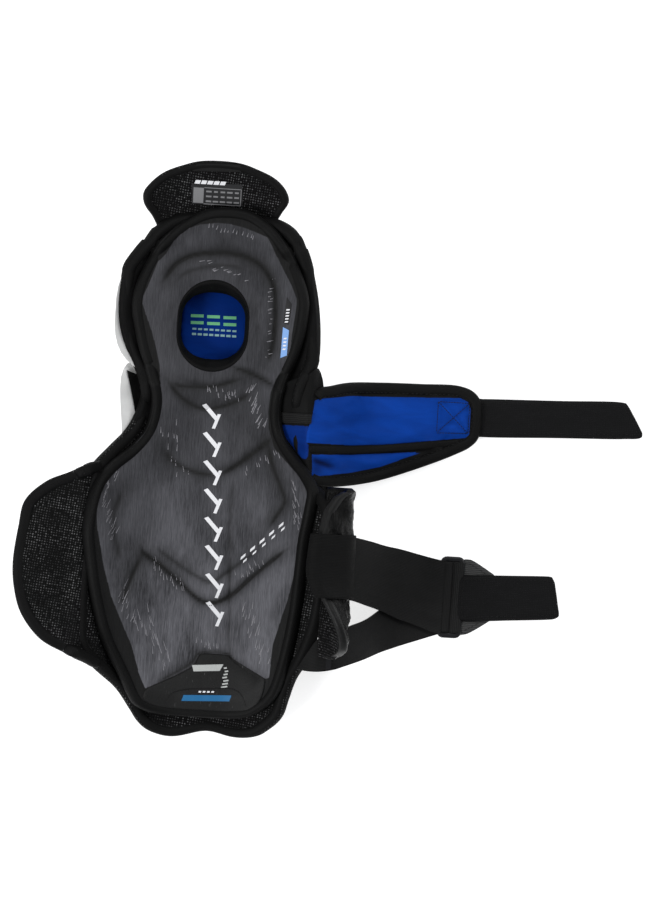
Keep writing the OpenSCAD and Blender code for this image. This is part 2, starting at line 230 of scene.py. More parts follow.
def panel(name, outline, top, bottom, paints, cell=1.6, edge=4.0, hole=None, swap=False, zone=None,
          warp=None):
    """A closed pad inside an outline: two height functions that meet in a rounded edge.

    hole(x, y) is the distance outside an opening, swap turns rows along X, zone(x, y) picks the
    paint of a face, and warp(x, y) shifts a place along Y.
    """
    margin = 0.15
    height = outline.high - outline.low - 2 * margin
    row_count = max(4, round(height / cell))
    rows = [outline.low + margin + height * i / row_count for i in range(row_count + 1)]
    near = [outline.low + margin + cell * f for f in (0.25, 0.55)]
    far = [outline.high - margin - cell * f for f in (0.55, 0.25)]
    rows = sorted(rows + near + far)
    spans = [outline.span(y) for y in rows]
    cols = max(4, round(max(b - a for a, b in spans) / cell))
    upper, lower, vertices, uvs = [], [], [], []
    for i, y in enumerate(rows):
        left, right = spans[i]
        upper_row, lower_row = [], []
        for j in range(cols + 1):
            x, row_y = lerp(left, right, j / cols), y
            if hole:
                away = hole(x, row_y)
                if abs(away) < cell * 0.55:
                    slope_x = hole(x + 0.1, row_y) - away
                    slope_y = hole(x, row_y + 0.1) - away
                    x -= slope_x * 10 * away
                    row_y -= slope_y * 10 * away
            px, py = (row_y, x) if swap else (x, row_y)
            if warp:
                py += warp(px, py)
            rim = i in (0, len(rows) - 1) or j in (0, cols)
            share = 0.0 if rim else clamp(outline.distance(x, row_y) / edge)
            round_off = math.sqrt(1 - (1 - share) ** 2)
            high, low = top(px, py), bottom(px, py)
            middle, half = (high + low) / 2, (high - low) / 2 * round_off
            upper_row.append(len(vertices))
            vertices.append((px, py, middle + half))
            uvs.append((px, py))
            if rim:
                lower_row.append(upper_row[-1])
            else:
                lower_row.append(len(vertices))
                vertices.append((px, py, middle - half))
                uvs.append((px, py))
        upper.append(upper_row)
        lower.append(lower_row)
    faces, shown = [], {}
    for i in range(len(rows) - 1):
        for j in range(cols):
            corners = [(i, j), (i, j + 1), (i + 1, j + 1), (i + 1, j)]
            if hole:
                places = [uvs[upper[a][b]] for a, b in corners]
                if min(hole(*p) for p in places) < -0.05:
                    continue
            faces.append([upper[a][b] for a, b in corners])
            faces.append([lower[a][b] for a, b in reversed(corners)])
            for k in range(4):
                side = frozenset((corners[k], corners[(k + 1) % 4]))
                shown[side] = shown.get(side, 0) + 1
    for side, count in shown.items():
        (a, b), (c, d) = tuple(side)
        if count == 1 and upper[a][b] != lower[a][b] and upper[c][d] != lower[c][d]:
            faces.append([upper[a][b], upper[c][d], lower[c][d], lower[a][b]])
    obj = add_mesh(name, vertices, faces, [[uvs[v] for v in f] for f in faces], paints)
    if zone:
        for polygon in obj.data.polygons:
            centre = polygon.center / MM
            polygon.material_index = zone(centre.x, centre.y)
    return obj


def stations(points, height, closed=True):
    """Places along an edge as (place, inward, up), where inward and up follow a height function."""
    places = [Vector((p.x, p.y, height(p.x, p.y))) for p in points]
    n = len(places)
    out = []
    for i, place in enumerate(places):
        ahead = places[(i + 1) % n] if closed or i < n - 1 else place
        behind = places[i - 1] if closed or i else place
        along = (ahead - behind).normalized()
        flat = Vector((-along.y, along.x)).normalized()
        rise = height(place.x + flat.x, place.y + flat.y) - place.z
        inward = Vector((flat.x, flat.y, rise)).normalized()
        inward = (inward - along * inward.dot(along)).normalized()
        out.append((place, inward, along.cross(inward)))
    return out


def sweep(name, line, profile, paint, closed=True):
    """A closed profile of (inward, up) places carried along stations."""
    vertices = [place + inward * a + up * b for place, inward, up in line for a, b in profile]
    m = len(profile)
    n = len(line)
    girth = [0.0]
    for j in range(m):
        a, b = profile[j], profile[(j + 1) % m]
        girth.append(girth[-1] + math.dist(a, b))
    reach = [0.0]
    for i in range(n):
        reach.append(reach[-1] + (line[(i + 1) % n][0] - line[i][0]).length)
    faces, uvs = [], []
    for i in range(n if closed else n - 1):
        after = (i + 1) % n
        for j in range(m):
            k = (j + 1) % m
            faces.append([i * m + j, i * m + k, after * m + k, after * m + j])
            uvs.append([(reach[i], girth[j]), (reach[i], girth[j + 1]),
                        (reach[i + 1], girth[j + 1]), (reach[i + 1], girth[j])])
    if not closed:
        for start, order in ((0, range(m)), ((n - 1) * m, range(m - 1, -1, -1))):
            faces.append([start + j for j in order])
            uvs.append([profile[j] for j in order])
    return add_mesh(name, vertices, faces, uvs, [paint])


def tape_profile(width, height, count=14, power=2.6):
    """A flat rounded section whose outer edge is at 0."""
    out = []
    for k in range(count):
        angle = 2 * math.pi * k / count
        c, s = math.cos(angle), math.sin(angle)
        out.append((width / 2 - width / 2 * math.copysign(abs(c) ** (2 / power), c),
                    height / 2 * math.copysign(abs(s) ** (2 / power), s)))
    return out


def stitches(name, line, inward_by, up_by, paint, pitch=3.4, length=2.3, radius=0.32):
    """Sewn stitches in a row along stations, each a small spindle."""
    vertices, faces = [], []
    sides = 5
    travelled = 0.0
    for (place, inward, up), (after, _, _) in zip(line, line[1:]):
        step = (after - place).length
        travelled += step
        if travelled < pitch:
            continue
        travelled -= pitch
        along = (after - place).normalized()
        middle = place + inward * inward_by + up * up_by
        base = len(vertices)
        vertices.append(middle - along * length / 2)
        for shift in (-0.3, 0.3):
            for k in range(sides):
                angle = 2 * math.pi * k / sides
                around = inward * math.cos(angle) + up * math.sin(angle)
                vertices.append(middle + along * length * shift + around * radius)
        vertices.append(middle + along * length / 2)
        last = base + 2 * sides + 1
        for k in range(sides):
            a, b = base + 1 + k, base + 1 + (k + 1) % sides
            faces += [[base, b, a], [a, b, b + sides, a + sides], [a + sides, b + sides, last]]
    uvs = [[(vertices[v].x, vertices[v].y) for v in f] for f in faces]
    return add_mesh(name, vertices, faces, uvs, [paint])


def patches(name, shapes, height, paint, thickness=0.35, sink=0.4, cell=2.0):
    """Thin closed prints or tapes on a surface. Each shape is a four-sided outline in XY."""
    vertices, faces = [], []
    for a, b, c, d in shapes:
        a, b, c, d = (Vector(p) for p in (a, b, c, d))
        rows = max(1, round(max((d - a).length, (c - b).length) / cell))
        cols = max(1, round(max((b - a).length, (c - d).length) / cell))
        base = len(vertices)
        for lift in (thickness, -sink):
            for i in range(rows + 1):
                for j in range(cols + 1):
                    p = a.lerp(d, i / rows).lerp(b.lerp(c, i / rows), j / cols)
                    vertices.append(Vector((p.x, p.y, height(p.x, p.y) + lift)))
        layer = (rows + 1) * (cols + 1)

        def at(i, j, under=0):
            return base + i * (cols + 1) + j + under * layer

        for i in range(rows):
            for j in range(cols):
                faces.append([at(i, j), at(i, j + 1), at(i + 1, j + 1), at(i + 1, j)])
                faces.append([at(i, j, 1), at(i + 1, j, 1), at(i + 1, j + 1, 1), at(i, j + 1, 1)])
        rim = ([(0, j) for j in range(cols)] + [(i, cols) for i in range(rows)]
               + [(rows, j) for j in range(cols, 0, -1)] + [(i, 0) for i in range(rows, 0, -1)])
        for (i, j), (k, m) in zip(rim, rim[1:] + rim[:1]):
            faces.append([at(i, j), at(i, j, 1), at(k, m, 1), at(k, m)])
    uvs = [[(vertices[v].x, vertices[v].y) for v in f] for f in faces]
    obj = add_mesh(name, vertices, faces, uvs, [paint])
    obj.data.set_sharp_from_angle(angle=math.radians(50))
    return obj


def slanted(x, y, width, height, lean=0.0, turn=0.0):
    """A leaning bar round a middle, as the four corners that patches() takes."""
    c, s = math.cos(math.radians(turn)), math.sin(math.radians(turn))
    out = []
    for u, v in ((-1, -1), (1, -1), (1, 1), (-1, 1)):
        px, py = u * width / 2 + v * lean / 2, v * height / 2
        out.append((x + px * c - py * s, y + px * s + py * c))
    return out


def puff(obj, held, pressure, frames=18, cap=4.0, grow=0.03):
    """Cloth simulation of a closed pad, run and applied. held(x, y) keeps a place still."""
    mesh = obj.data
    before = [v.co.copy() for v in mesh.vertices]
    group = obj.vertex_groups.new(name="held")
    for v in mesh.vertices:
        weight = held(v.co.x / MM, v.co.y / MM)
        if weight > 0:
            group.add([v.index], weight, "REPLACE")
    cloth = obj.modifiers.new("Cloth", "CLOTH")
    settings = cloth.settings
    settings.quality = 5
    settings.mass = 0.25
    settings.tension_stiffness = settings.compression_stiffness = 12
    settings.shear_stiffness = 6
    settings.bending_stiffness = 0.4
    settings.shrink_min = -grow
    settings.use_pressure = True
    settings.uniform_pressure_force = pressure
    settings.vertex_group_mass = "held"
    settings.effector_weights.gravity = 0
    cloth.collision_settings.use_collision = False
    scene = bpy.context.scene
    for number in range(1, frames + 1):
        scene.frame_set(number)
    shape = obj.evaluated_get(bpy.context.evaluated_depsgraph_get())
    after = [v.co.copy() for v in shape.data.vertices]
    obj.modifiers.remove(cloth)
    obj.vertex_groups.clear()
    scene.frame_set(1)
    for v, old, new in zip(mesh.vertices, before, after):
        move = new - old
        if move.length > cap * MM:
            move = move.normalized() * cap * MM
        v.co = old + move


def subdivide(obj, levels=1):
    """One applied subdivision surface."""
    modifier = obj.modifiers.new("Subdivision", "SUBSURF")
    modifier.levels = modifier.render_levels = levels
    modifier.boundary_smooth = "PRESERVE_CORNERS"
    mesh = bpy.data.meshes.new_from_object(obj.evaluated_get(bpy.context.evaluated_depsgraph_get()))
    obj.modifiers.remove(modifier)
    obj.data = mesh
    mesh.shade_smooth()


# ---------------------------------------------------------------- materials

class Paint:
    """A procedural material whose patterns are measured in millimetres."""

    def __init__(self, name, on_cad=False, **sockets):
        self.material = bpy.data.materials.new(name)
        self.material.use_nodes = True
        self.nodes = self.material.node_tree.nodes
        self.links = self.material.node_tree.links
        self.shader = self.nodes["Principled BSDF"]
        for socket, value in sockets.items():
            self.shader.inputs[socket.replace("_", " ")].default_value = value
        if on_cad:
            object_place = self.nodes.new("ShaderNodeTexCoord").outputs["Object"]
            self.place = self.mapped(object_place, (1 / MM, 1 / MM, 1 / MM))
        else:
            uv = self.nodes.new("ShaderNodeUVMap")
            uv.uv_map = UV_MAP
            self.place = uv.outputs["UV"]

    def field(self, name):
        node = self.nodes.new("ShaderNodeAttribute")
        node.attribute_name = name
        return node.outputs["Fac"]

    def feed(self, socket, value):
        if isinstance(value, bpy.types.NodeSocket):
            self.links.new(value, socket)
        else:
            socket.default_value = value

    def mapped(self, vector, scale, turn=0.0):
        node = self.nodes.new("ShaderNodeMapping")
        self.links.new(vector, node.inputs["Vector"])
        node.inputs["Scale"].default_value = scale
        node.inputs["Rotation"].default_value = (0, 0, math.radians(turn))
        return node.outputs["Vector"]

    def math(self, operation, a, b=0.0):
        node = self.nodes.new("ShaderNodeMath")
        node.operation = operation
        self.feed(node.inputs[0], a)
        self.feed(node.inputs[1], b)
        return node.outputs[0]

    def noise(self, scale, detail=2.0, rough=0.5, turn=0.0, warp=0.0):
        node = self.nodes.new("ShaderNodeTexNoise")
        scale = scale if isinstance(scale, tuple) else (scale, scale, scale)
        self.links.new(self.mapped(self.place, scale, turn), node.inputs["Vector"])
        node.inputs["Scale"].default_value = 1.0
        node.inputs["Detail"].default_value = detail
        node.inputs["Roughness"].default_value = rough
        node.inputs["Distortion"].default_value = warp
        return node.outputs["Fac"]

    def cells(self, scale, turn=0.0, feature="F1"):
        node = self.nodes.new("ShaderNodeTexVoronoi")
        node.feature = feature
        self.links.new(self.mapped(self.place, scale, turn), node.inputs["Vector"])
        node.inputs["Scale"].default_value = 1.0
        return node.outputs["Distance"]

    def along(self, axis):
        """The place along one axis."""
        split = self.nodes.new("ShaderNodeSeparateXYZ")
        self.links.new(self.place, split.inputs[0])
        return split.outputs[axis]

    def waves(self, pitch, axis=0, turn=0.0):
        """A sine from -1 to 1 with one wave per pitch, along one axis."""
        turns = 2 * math.pi / pitch
        split = self.nodes.new("ShaderNodeSeparateXYZ")
        self.links.new(self.mapped(self.place, (turns, turns, turns), turn), split.inputs[0])
        return self.math("SINE", split.outputs[axis])

    def ramp(self, value, low, high, a=0.0, b=1.0):
        node = self.nodes.new("ShaderNodeMapRange")
        node.interpolation_type = "SMOOTHSTEP"
        self.feed(node.inputs["Value"], value)
        for name, number in (("From Min", low), ("From Max", high), ("To Min", a), ("To Max", b)):
            node.inputs[name].default_value = number
        return node.outputs["Result"]

    def mix(self, factor, a, b):
        node = self.nodes.new("ShaderNodeMix")
        node.data_type = "RGBA"
        self.feed(node.inputs["Factor"], factor)
        for socket, colour in ((node.inputs[6], a), (node.inputs[7], b)):
            self.feed(socket, (*colour, 1.0) if isinstance(colour, tuple) else colour)
        return node.outputs[2]

    def finish(self, colour, height=None, depth=0.1, strength=1.0, rough=None):
        """Links the colour, a bump whose full height is depth millimetres, and the roughness."""
        self.links.new(colour, self.shader.inputs["Base Color"])
        if height is not None:
            bump = self.nodes.new("ShaderNodeBump")
            bump.inputs["Strength"].default_value = strength
            bump.inputs["Distance"].default_value = depth * MM
            self.links.new(height, bump.inputs["Height"])
            self.links.new(bump.outputs["Normal"], self.shader.inputs["Normal"])
        if rough is not None:
            self.links.new(rough, self.shader.inputs["Roughness"])
        return self.material


def grey(value, tint=0.0):
    """A near-grey colour, bluer with tint."""
    return (value * (1 - tint / 2), value * (1 - tint / 2), value * (1 + tint))


def liner_cloth():
    """Brushed charcoal jersey with upright streaks, with painted shade that darkens it towards its upper end.

    It turns black outside the "print" field's outline and takes painted shade from the "crease" field.
    """
    p = Paint("brushed_liner_cloth", Specular_IOR_Level=0.12, Sheen_Weight=0.05, Sheen_Roughness=0.5)
    streak = p.noise((0.75, 0.05, 1), detail=4, rough=0.7, warp=0.9)
    fine = p.noise((2.0, 0.11, 1), detail=3, rough=0.6, warp=0.9)
    broad = p.noise((0.03, 0.018, 1), detail=3)
    tone = p.math("ADD", p.ramp(streak, 0.36, 0.64, 0, 0.5), p.ramp(fine, 0.38, 0.62, 0, 0.5))
    tone = p.math("ADD", p.math("MULTIPLY", tone, 0.5), p.ramp(broad, 0.3, 0.7, 0, 0.5))
    # Painted shade: the cloth's colour darkens from its lower end towards the knee end.
    tone = p.math("MULTIPLY", tone, p.ramp(p.along(1), -100, 130, 1.0, 0.36))
    base = p.mix(tone, grey(0.011, 0.1), grey(0.135, 0.07))
    # Painted shade in the moulded creases, from the "crease" field.
    colour = p.mix(p.field("crease"), base, grey(0.009))
    colour = p.mix(p.ramp(p.field("print"), -0.35, 0.35), grey(0.0055), colour)
    height = p.math("ADD", p.math("MULTIPLY", streak, 0.6), p.math("MULTIPLY", fine, 0.5))
    return p.finish(colour, height, 0.3, 0.9, p.ramp(streak, 0.3, 0.7, 0.6, 0.85))


def air_mesh():
    """Black spacer mesh: pale knit dots on a slanted grid with open holes between them."""
    p = Paint("air_mesh", Specular_IOR_Level=0.08, Sheen_Weight=0.0)
    dots = p.math("MULTIPLY", p.waves(2.6, 0, 52), p.waves(2.6, 1, 52))
    dots = p.ramp(dots, 0.05, 0.75)
    yarn = p.noise((0.45, 0.45, 1), detail=2)
    patch = p.ramp(p.noise(0.05, detail=2), 0.35, 0.65, 0.25, 1.0)
    tone = p.math("MULTIPLY", p.math("MULTIPLY", dots, p.ramp(yarn, 0.4, 0.62)), patch)
    colour = p.mix(tone, grey(0.003), grey(0.11, 0.01))
    return p.finish(colour, p.math("SUBTRACT", dots, 0.5), 0.5, 0.9, p.ramp(dots, 0, 1, 0.95, 0.6))


def tape_cloth(name, value, sheen=0.02, rough=0.6, shine=0.12):
    """Woven edge tape with fine cross ribs."""
    p = Paint(name, Specular_IOR_Level=shine, Sheen_Weight=sheen, Sheen_Roughness=0.4)
    ribs = p.waves(0.85)
    grain = p.noise((1.2, 1.2, 1), detail=3)
    tone = p.math("ADD", p.ramp(ribs, -1, 1, 0, 0.5), p.ramp(grain, 0.3, 0.7, 0, 0.5))
    broad = p.noise((0.03, 0.2, 1), detail=2)
    tone_here = p.math("MULTIPLY", tone, p.ramp(broad, 0.3, 0.7, 0.4, 1))
    colour = p.mix(tone_here, grey(value * 0.6), grey(value * 1.5))
    return p.finish(colour, tone, 0.12, 0.6, p.ramp(grain, 0.3, 0.7, rough - 0.08, rough + 0.12))


def blue_cloth(name, dark, light, masked=False):
    """Royal blue brushed nylon with a very fine weave and soft creases.

    A masked one turns black where the "blue" field is below zero, and takes painted shade from the "fold"
    field.
    """
    p = Paint(name, Specular_IOR_Level=0.04)
    weave = p.math("MULTIPLY", p.waves(0.75, 0), p.waves(0.75, 1))
    crease = p.noise((0.03, 0.09, 1), detail=3, warp=0.8)
    grain = p.noise((1.6, 1.6, 1), detail=2)
    tone = p.math("ADD", p.ramp(crease, 0.25, 0.75, 0, 0.7), p.ramp(grain, 0.3, 0.7, 0, 0.3))
    colour = p.mix(tone, dark, light)
    if masked:
        # Painted shade in the strap's dimple, from the "fold" field.
        colour = p.mix(p.field("fold"), colour, (0.0008, 0.004, 0.03))
        colour = p.mix(p.ramp(p.field("blue"), -0.3, 0.3), grey(0.0055), colour)
    height = p.math("ADD", p.math("MULTIPLY", weave, 0.08), p.math("MULTIPLY", crease, 2.2))
    return p.finish(colour, height, 0.35, 0.5, p.ramp(grain, 0.3, 0.7, 0.5, 0.68))


def smooth_cloth():
    """Matt black knit over foam, on the carrier behind the kneecap."""
    p = Paint("smooth_knit", Specular_IOR_Level=0.06)
    knit = p.math("MULTIPLY", p.waves(0.9, 0, 30), p.waves(0.9, 1, 30))
    cloud = p.noise(0.06, detail=3)
    colour = p.mix(p.ramp(cloud, 0.3, 0.7), grey(0.0028), grey(0.0052, 0.02))
    return p.finish(colour, p.math("ADD", knit, p.math("MULTIPLY", cloud, 3)), 0.14, 0.6,
                    p.ramp(cloud, 0.3, 0.7, 0.6, 0.8))


def coated_cloth():
    """Crumpled glossy black coated nylon."""
    p = Paint("coated_nylon", Specular_IOR_Level=0.07)
    crumple = p.noise((0.07, 0.03, 1), detail=4, rough=0.6, warp=1.4)
    weave = p.math("MULTIPLY", p.waves(0.7, 0), p.waves(0.7, 1))
    colour = p.mix(p.ramp(crumple, 0.35, 0.7), grey(0.0012), grey(0.0032))
    height = p.math("ADD", p.math("MULTIPLY", crumple, 4), p.math("MULTIPLY", weave, 0.05))
    return p.finish(colour, height, 1.8, 0.8, p.ramp(crumple, 0.3, 0.7, 0.14, 0.26))


def elastic_cloth(name, share=1.0):
    """Black woven elastic: fine ribs along it and faint picks across it. A share below 1 makes a darker,
    duller copy, as painted shade.
    """
    p = Paint(name, Specular_IOR_Level=0.07 * share)
    ribs = p.ramp(p.waves(1.1, 1), -1, 1)
    picks = p.ramp(p.waves(0.7, 0), -1, 1)
    cloud = p.noise((0.03, 0.12, 1), detail=3)
    tone = p.math("MULTIPLY", p.math("ADD", p.math("MULTIPLY", ribs, 0.6), p.math("MULTIPLY", picks, 0.4)),
                  p.ramp(cloud, 0.3, 0.7, 0.5, 1))
    colour = p.mix(tone, grey(0.0045 * share), grey(0.014 * share))
    return p.finish(colour, tone, 0.2, 0.7, p.ramp(cloud, 0.3, 0.7, 0.55, 0.7))


def hook_cloth():
    """Hook tape: rows of tiny stiff hooks on black nylon."""
    p = Paint("hook_tape", Specular_IOR_Level=0.1)
    hooks = p.math("MULTIPLY", p.ramp(p.waves(1.3, 0), 0, 1), p.ramp(p.waves(1.3, 1), 0, 1))
    cloud = p.noise((0.05, 0.2, 1), detail=3)
    tone = p.math("MULTIPLY", hooks, p.ramp(cloud, 0.3, 0.7, 0.4, 1))
    colour = p.mix(tone, grey(0.003, 0.05), grey(0.017, 0.05))
    return p.finish(colour, hooks, 0.45, 0.9, p.ramp(hooks, 0, 1, 0.7, 0.4))


def loop_cloth():
    """Brushed loop tape."""
    p = Paint("loop_tape", Sheen_Weight=0.3, Sheen_Roughness=0.6, Specular_IOR_Level=0.2)
    fuzz = p.noise((1.6, 1.6, 1), detail=4, rough=0.7, warp=1.5)
    colour = p.mix(p.ramp(fuzz, 0.3, 0.7), grey(0.008), grey(0.035))
    return p.finish(colour, fuzz, 0.7, 0.9, p.ramp(fuzz, 0.3, 0.7, 0.8, 0.95))


def abrasion_cloth():
    """Rubber-printed wear panel with a fine pebble."""
    p = Paint("abrasion_cloth", Specular_IOR_Level=0.16)
    pebble = p.cells((1.1, 1.1, 1))
    scratch = p.ramp(p.noise((0.9, 0.14, 1), detail=1, turn=-12, warp=0.6), 0.66, 0.74)
    side = p.ramp(p.noise(0.04, detail=1), 0.5, 0.6)
    base = p.mix(p.ramp(pebble, 0, 0.7), grey(0.004), grey(0.008))
    colour = p.mix(p.math("MULTIPLY", p.math("MULTIPLY", scratch, side), 0.3), base, grey(0.2))
    return p.finish(colour, pebble, 0.2, 0.6, p.ramp(pebble, 0, 0.7, 0.5, 0.65))


def webbing_cloth(name, value):
    """Ribbed webbing."""
    p = Paint(name, Specular_IOR_Level=0.15, Sheen_Weight=0.03)
    ribs = p.ramp(p.waves(1.4, 1), -1, 1)
    picks = p.ramp(p.waves(0.9, 0), -1, 1)
    tone = p.math("MULTIPLY", ribs, p.ramp(picks, 0, 1, 0.5, 1))
    colour = p.mix(tone, grey(value * 0.4), grey(value))
    return p.finish(colour, tone, 0.3, 0.8, p.ramp(ribs, 0, 1, 0.75, 0.6))


def print_ink(name, colour, worn=0.25, rough=0.5):
    """Transfer ink with a slightly worn, grainy face."""
    p = Paint(name, Specular_IOR_Level=0.3)
    grain = p.noise((1.5, 1.5, 1), detail=4, rough=0.7)
    cloud = p.noise((0.2, 0.2, 1), detail=2)
    wear = p.math("MULTIPLY", p.ramp(grain, 0.55, 0.75), p.ramp(cloud, 0.3, 0.7, 0.2, 1))
    faded = tuple(c * (1 - worn) * 0.6 for c in colour)
    gloss = p.ramp(grain, 0.3, 0.7, rough - 0.1, rough + 0.15)
    return p.finish(p.mix(wear, colour, faded), grain, 0.06, 0.5, gloss)


def hard_plastic(name, low, high, rough, bump=0.08, pitch=0.5, shine=0.45):
    """Moulded plastic with a fine moulded grain and rubbed, slightly rougher areas."""
    p = Paint(name, on_cad=True, Specular_IOR_Level=shine)
    grain = p.noise(pitch, detail=4, rough=0.6)
    rub = p.noise(0.05, detail=3)
    scuffs = p.ramp(p.noise((0.6, 0.05, 0.3), detail=2, turn=20), 0.68, 0.75)
    tone = p.math("ADD", p.ramp(rub, 0.3, 0.7, 0, 0.7), p.math("MULTIPLY", scuffs, 0.3))
    gloss = p.ramp(rub, 0.3, 0.7, rough - 0.06, rough + 0.14)
    return p.finish(p.mix(tone, high, low), grain, bump, 0.4, gloss)


LINER = liner_cloth()
MESH = air_mesh()
BINDING = tape_cloth("binding_tape", 0.0042, sheen=0.0, rough=0.62, shine=0.07)
LINER_BINDING = tape_cloth("satin_binding_tape", 0.0042, sheen=0.0, rough=0.58, shine=0.08)
WING_BINDING = tape_cloth("satin_wing_tape", 0.007, sheen=0.0, rough=0.42, shine=0.12)
FLAP_STRIP = tape_cloth("folded_strip", 0.008)
THREAD = tape_cloth("black_thread", 0.006, rough=0.5)
STRAP_BLUE = blue_cloth("strap_blue", (0.0015, 0.024, 0.17), (0.0022, 0.038, 0.26), masked=True)
ROOT_BLUE = blue_cloth("strap_root_blue", (0.0012, 0.013, 0.1), (0.002, 0.022, 0.16), masked=True)
PAD_BLUE = blue_cloth("cup_pad_blue", (0.0008, 0.016, 0.125), (0.0012, 0.024, 0.18))
BLUE_THREAD = tape_cloth("navy_thread", 0.004, rough=0.5)
KNIT = smooth_cloth()
COATED = coated_cloth()
ELASTIC = elastic_cloth("woven_elastic")
# A darker copy of the elastic for the wing panel: painted shade.
SHADED_WING_ELASTIC = elastic_cloth("wing_elastic", 0.6)
HOOKS = hook_cloth()
LOOPS = loop_cloth()
ABRASION = abrasion_cloth()
WEBBING = webbing_cloth("grey_webbing", 0.05)
WEBBING_DARK = webbing_cloth("dark_webbing", 0.008)
WHITE_INK = print_ink("white_ink", (0.62, 0.62, 0.64))
SILVER_INK = print_ink("silver_ink", (0.36, 0.37, 0.36), worn=0.6, rough=0.35)
GREEN_INK = print_ink("green_ink", (0.13, 0.42, 0.2), worn=0.5)
MINT_INK = print_ink("mint_ink", (0.2, 0.36, 0.36), worn=0.5)
CYAN_INK = print_ink("cyan_ink", (0.006, 0.1, 0.24), worn=0.5)
SKY_INK = print_ink("sky_ink", (0.16, 0.3, 0.58), worn=0.4)
STROKE_INK = print_ink("stroke_ink", (0.155, 0.152, 0.165), worn=0.5)
BLACK_INK = print_ink("black_ink", (0.004, 0.004, 0.005))
LABEL = print_ink("woven_label", (0.16, 0.16, 0.165), worn=0.4)
DARK_LABEL = print_ink("label_ground", (0.01, 0.01, 0.011))
WHITE_PLASTIC = hard_plastic("white_shell_plastic", (0.62, 0.62, 0.61), (0.8, 0.8, 0.79), 0.34)
BLUE_PLASTIC = hard_plastic("blue_insert_plastic", (0.01, 0.05, 0.3), (0.015, 0.07, 0.4), 0.32)
BLACK_PLASTIC = hard_plastic("black_moulding", (0.004, 0.004, 0.005), (0.008, 0.008, 0.009), 0.34, shine=0.2)


# ---------------------------------------------------------------- heights of the pad's layers

FRONT_HALF = 14
SHIN_TOP = 15
cup_low, cup_high = node_box("knee_opening_rim")
CUP_X = (cup_low.x + cup_high.x) / 2
CUP_Y = (cup_low.y + cup_high.y) / 2
CUP_R = (cup_high.x - cup_low.x) / 2
CUP_STRAIGHT = cup_high.y - cup_low.y - 2 * CUP_R
KNEE_Y = 178
DOME_R = 100
LINER_T = 12
LINER_GAP = 2.4


def side_rise(x):
    return 0.0095 * max(0, abs(x) - FRONT_HALF) ** 2


def right_curl(x):
    return 0.012 * max(0, x - 62) ** 2


def cup_floor(x, y):
    """The kneecap's inner face."""
    away = clamp(y, KNEE_Y - 52, KNEE_Y + 52) - KNEE_Y
    return DOME_R - math.sqrt(max(96.7 ** 2 - x * x - away * away, 3200))


def carrier_top(x, y):
    shin = SHIN_TOP + side_rise(x) + right_curl(x)
    middle = lookup(y, ((100, 24), (200, 26), (236, 27.6)))
    knee = max(middle + 0.006 * max(0, abs(x) - FRONT_HALF) ** 2, min(cup_floor(x, y), 43) + 5)
    return lerp(shin, knee, smooth(88, 132, y))


def liner_bottom(x, y):
    return carrier_top(x, y) + LINER_GAP + lookup(y, ((225, 0), (240, 4.5), (260, 12)))


def cup_distance(x, y, radius=None):
    """The distance outside the knee opening's outline, less inside it."""
    dy = max(0, abs(y - CUP_Y) - CUP_STRAIGHT / 2)
    return math.hypot(x - CUP_X, dy) - (CUP_R if radius is None else radius)


RIM_SHIFT = 1.1
RIM_R = CUP_R - 1.4
LINING_R = CUP_R - 1.2


def rim_distance(x, y):
    """The distance outside the opening in the liner, which is a little narrower."""
    return cup_distance(x + RIM_SHIFT, y, RIM_R)


# ---------------------------------------------------------------- liner

LINER_ROWS = ((-115, -27, 28), (-113, -38, 38), (-108.5, -46, 46), (-101, -51, 54), (-92, -55.5, 59),
              (-62, -71, 66), (-32, -80, 70), (0, -86, 72), (18, -88, 73), (40, -86, 76), (56, -81, 77),
              (68, -72, 71), (80, -59, 61), (92, -50, 52), (104, -46.5, 48), (117, -46, 47.5),
              (132, -50, 50), (150, -57, 57), (165, -61, 61), (180, -64, 63), (194, -63, 63),
              (212, -57, 57), (230, -47, 47), (246, -31, 33), (256, -12, 16))
liner_outline = Outline(LINER_ROWS)

# Moulded creases as (points, width, depth)
CREASES = (
    (((-44, 200), (-35, 214), (-24, 221), (-10, 224), (5, 224.5), (16, 222.5), (27, 217), (34, 209),
      (38, 200), (39.5, 188), (40, 172), (39, 158), (36, 146)), 2.6, 2.2),
    (((-36, 200), (-27, 208.5), (-15, 213), (-3, 215), (9, 215), (17, 211)), 3.4, 0.9),
    (((8, 143), (24, 138), (40, 131), (44, 128)), 1.7, 1.9),
    (((-34, 128), (-27, 126), (-14, 125.6), (-1, 127), (11, 131), (20, 134)), 2.6, 1.5),
    (((-36, 130), (-28, 120), (-17, 112.5), (-8, 110), (5, 112.5), (19, 119), (27, 126)), 3.0, 1.4),
    (((44, 93), (40, 89), (30, 80), (19, 71), (6, 62)), 2.4, 2.2),
    (((6, 62), (-12, 63.5), (-29, 71), (-38, 82)), 3.4, 1.3),
    (((40, 89), (44, 73), (51, 57), (55, 46), (50, 36), (43, 24)), 3.0, 1.5),
    (((-48, 8), (-46, 3), (-33, -6), (-19, -17), (-2, -30), (8, -31), (21, -24), (33, -12), (49, 3),
      (59, 12)), 2.6, 2.0),
    (((-39, 8), (-24, -2), (-7, -12), (5, -16), (15, -9), (26, 0), (40, 11)), 3.2, 1.0),
    (((-46, 3), (-50, -7), (-54, -18), (-61, -40)), 3.6, 1.3),
    (((-62, 50), (-68, 32), (-66, 10), (-61, -6)), 4.5, 1.0),
    (((17, 62), (16, 27), (18.5, -19), (21.5, -69)), 1.4, 0.8),
    (((-33, -94), (-5, -75), (-1, -69), (20, -68), (26, -73), (47, -86)), 2.4, 1.2),
)


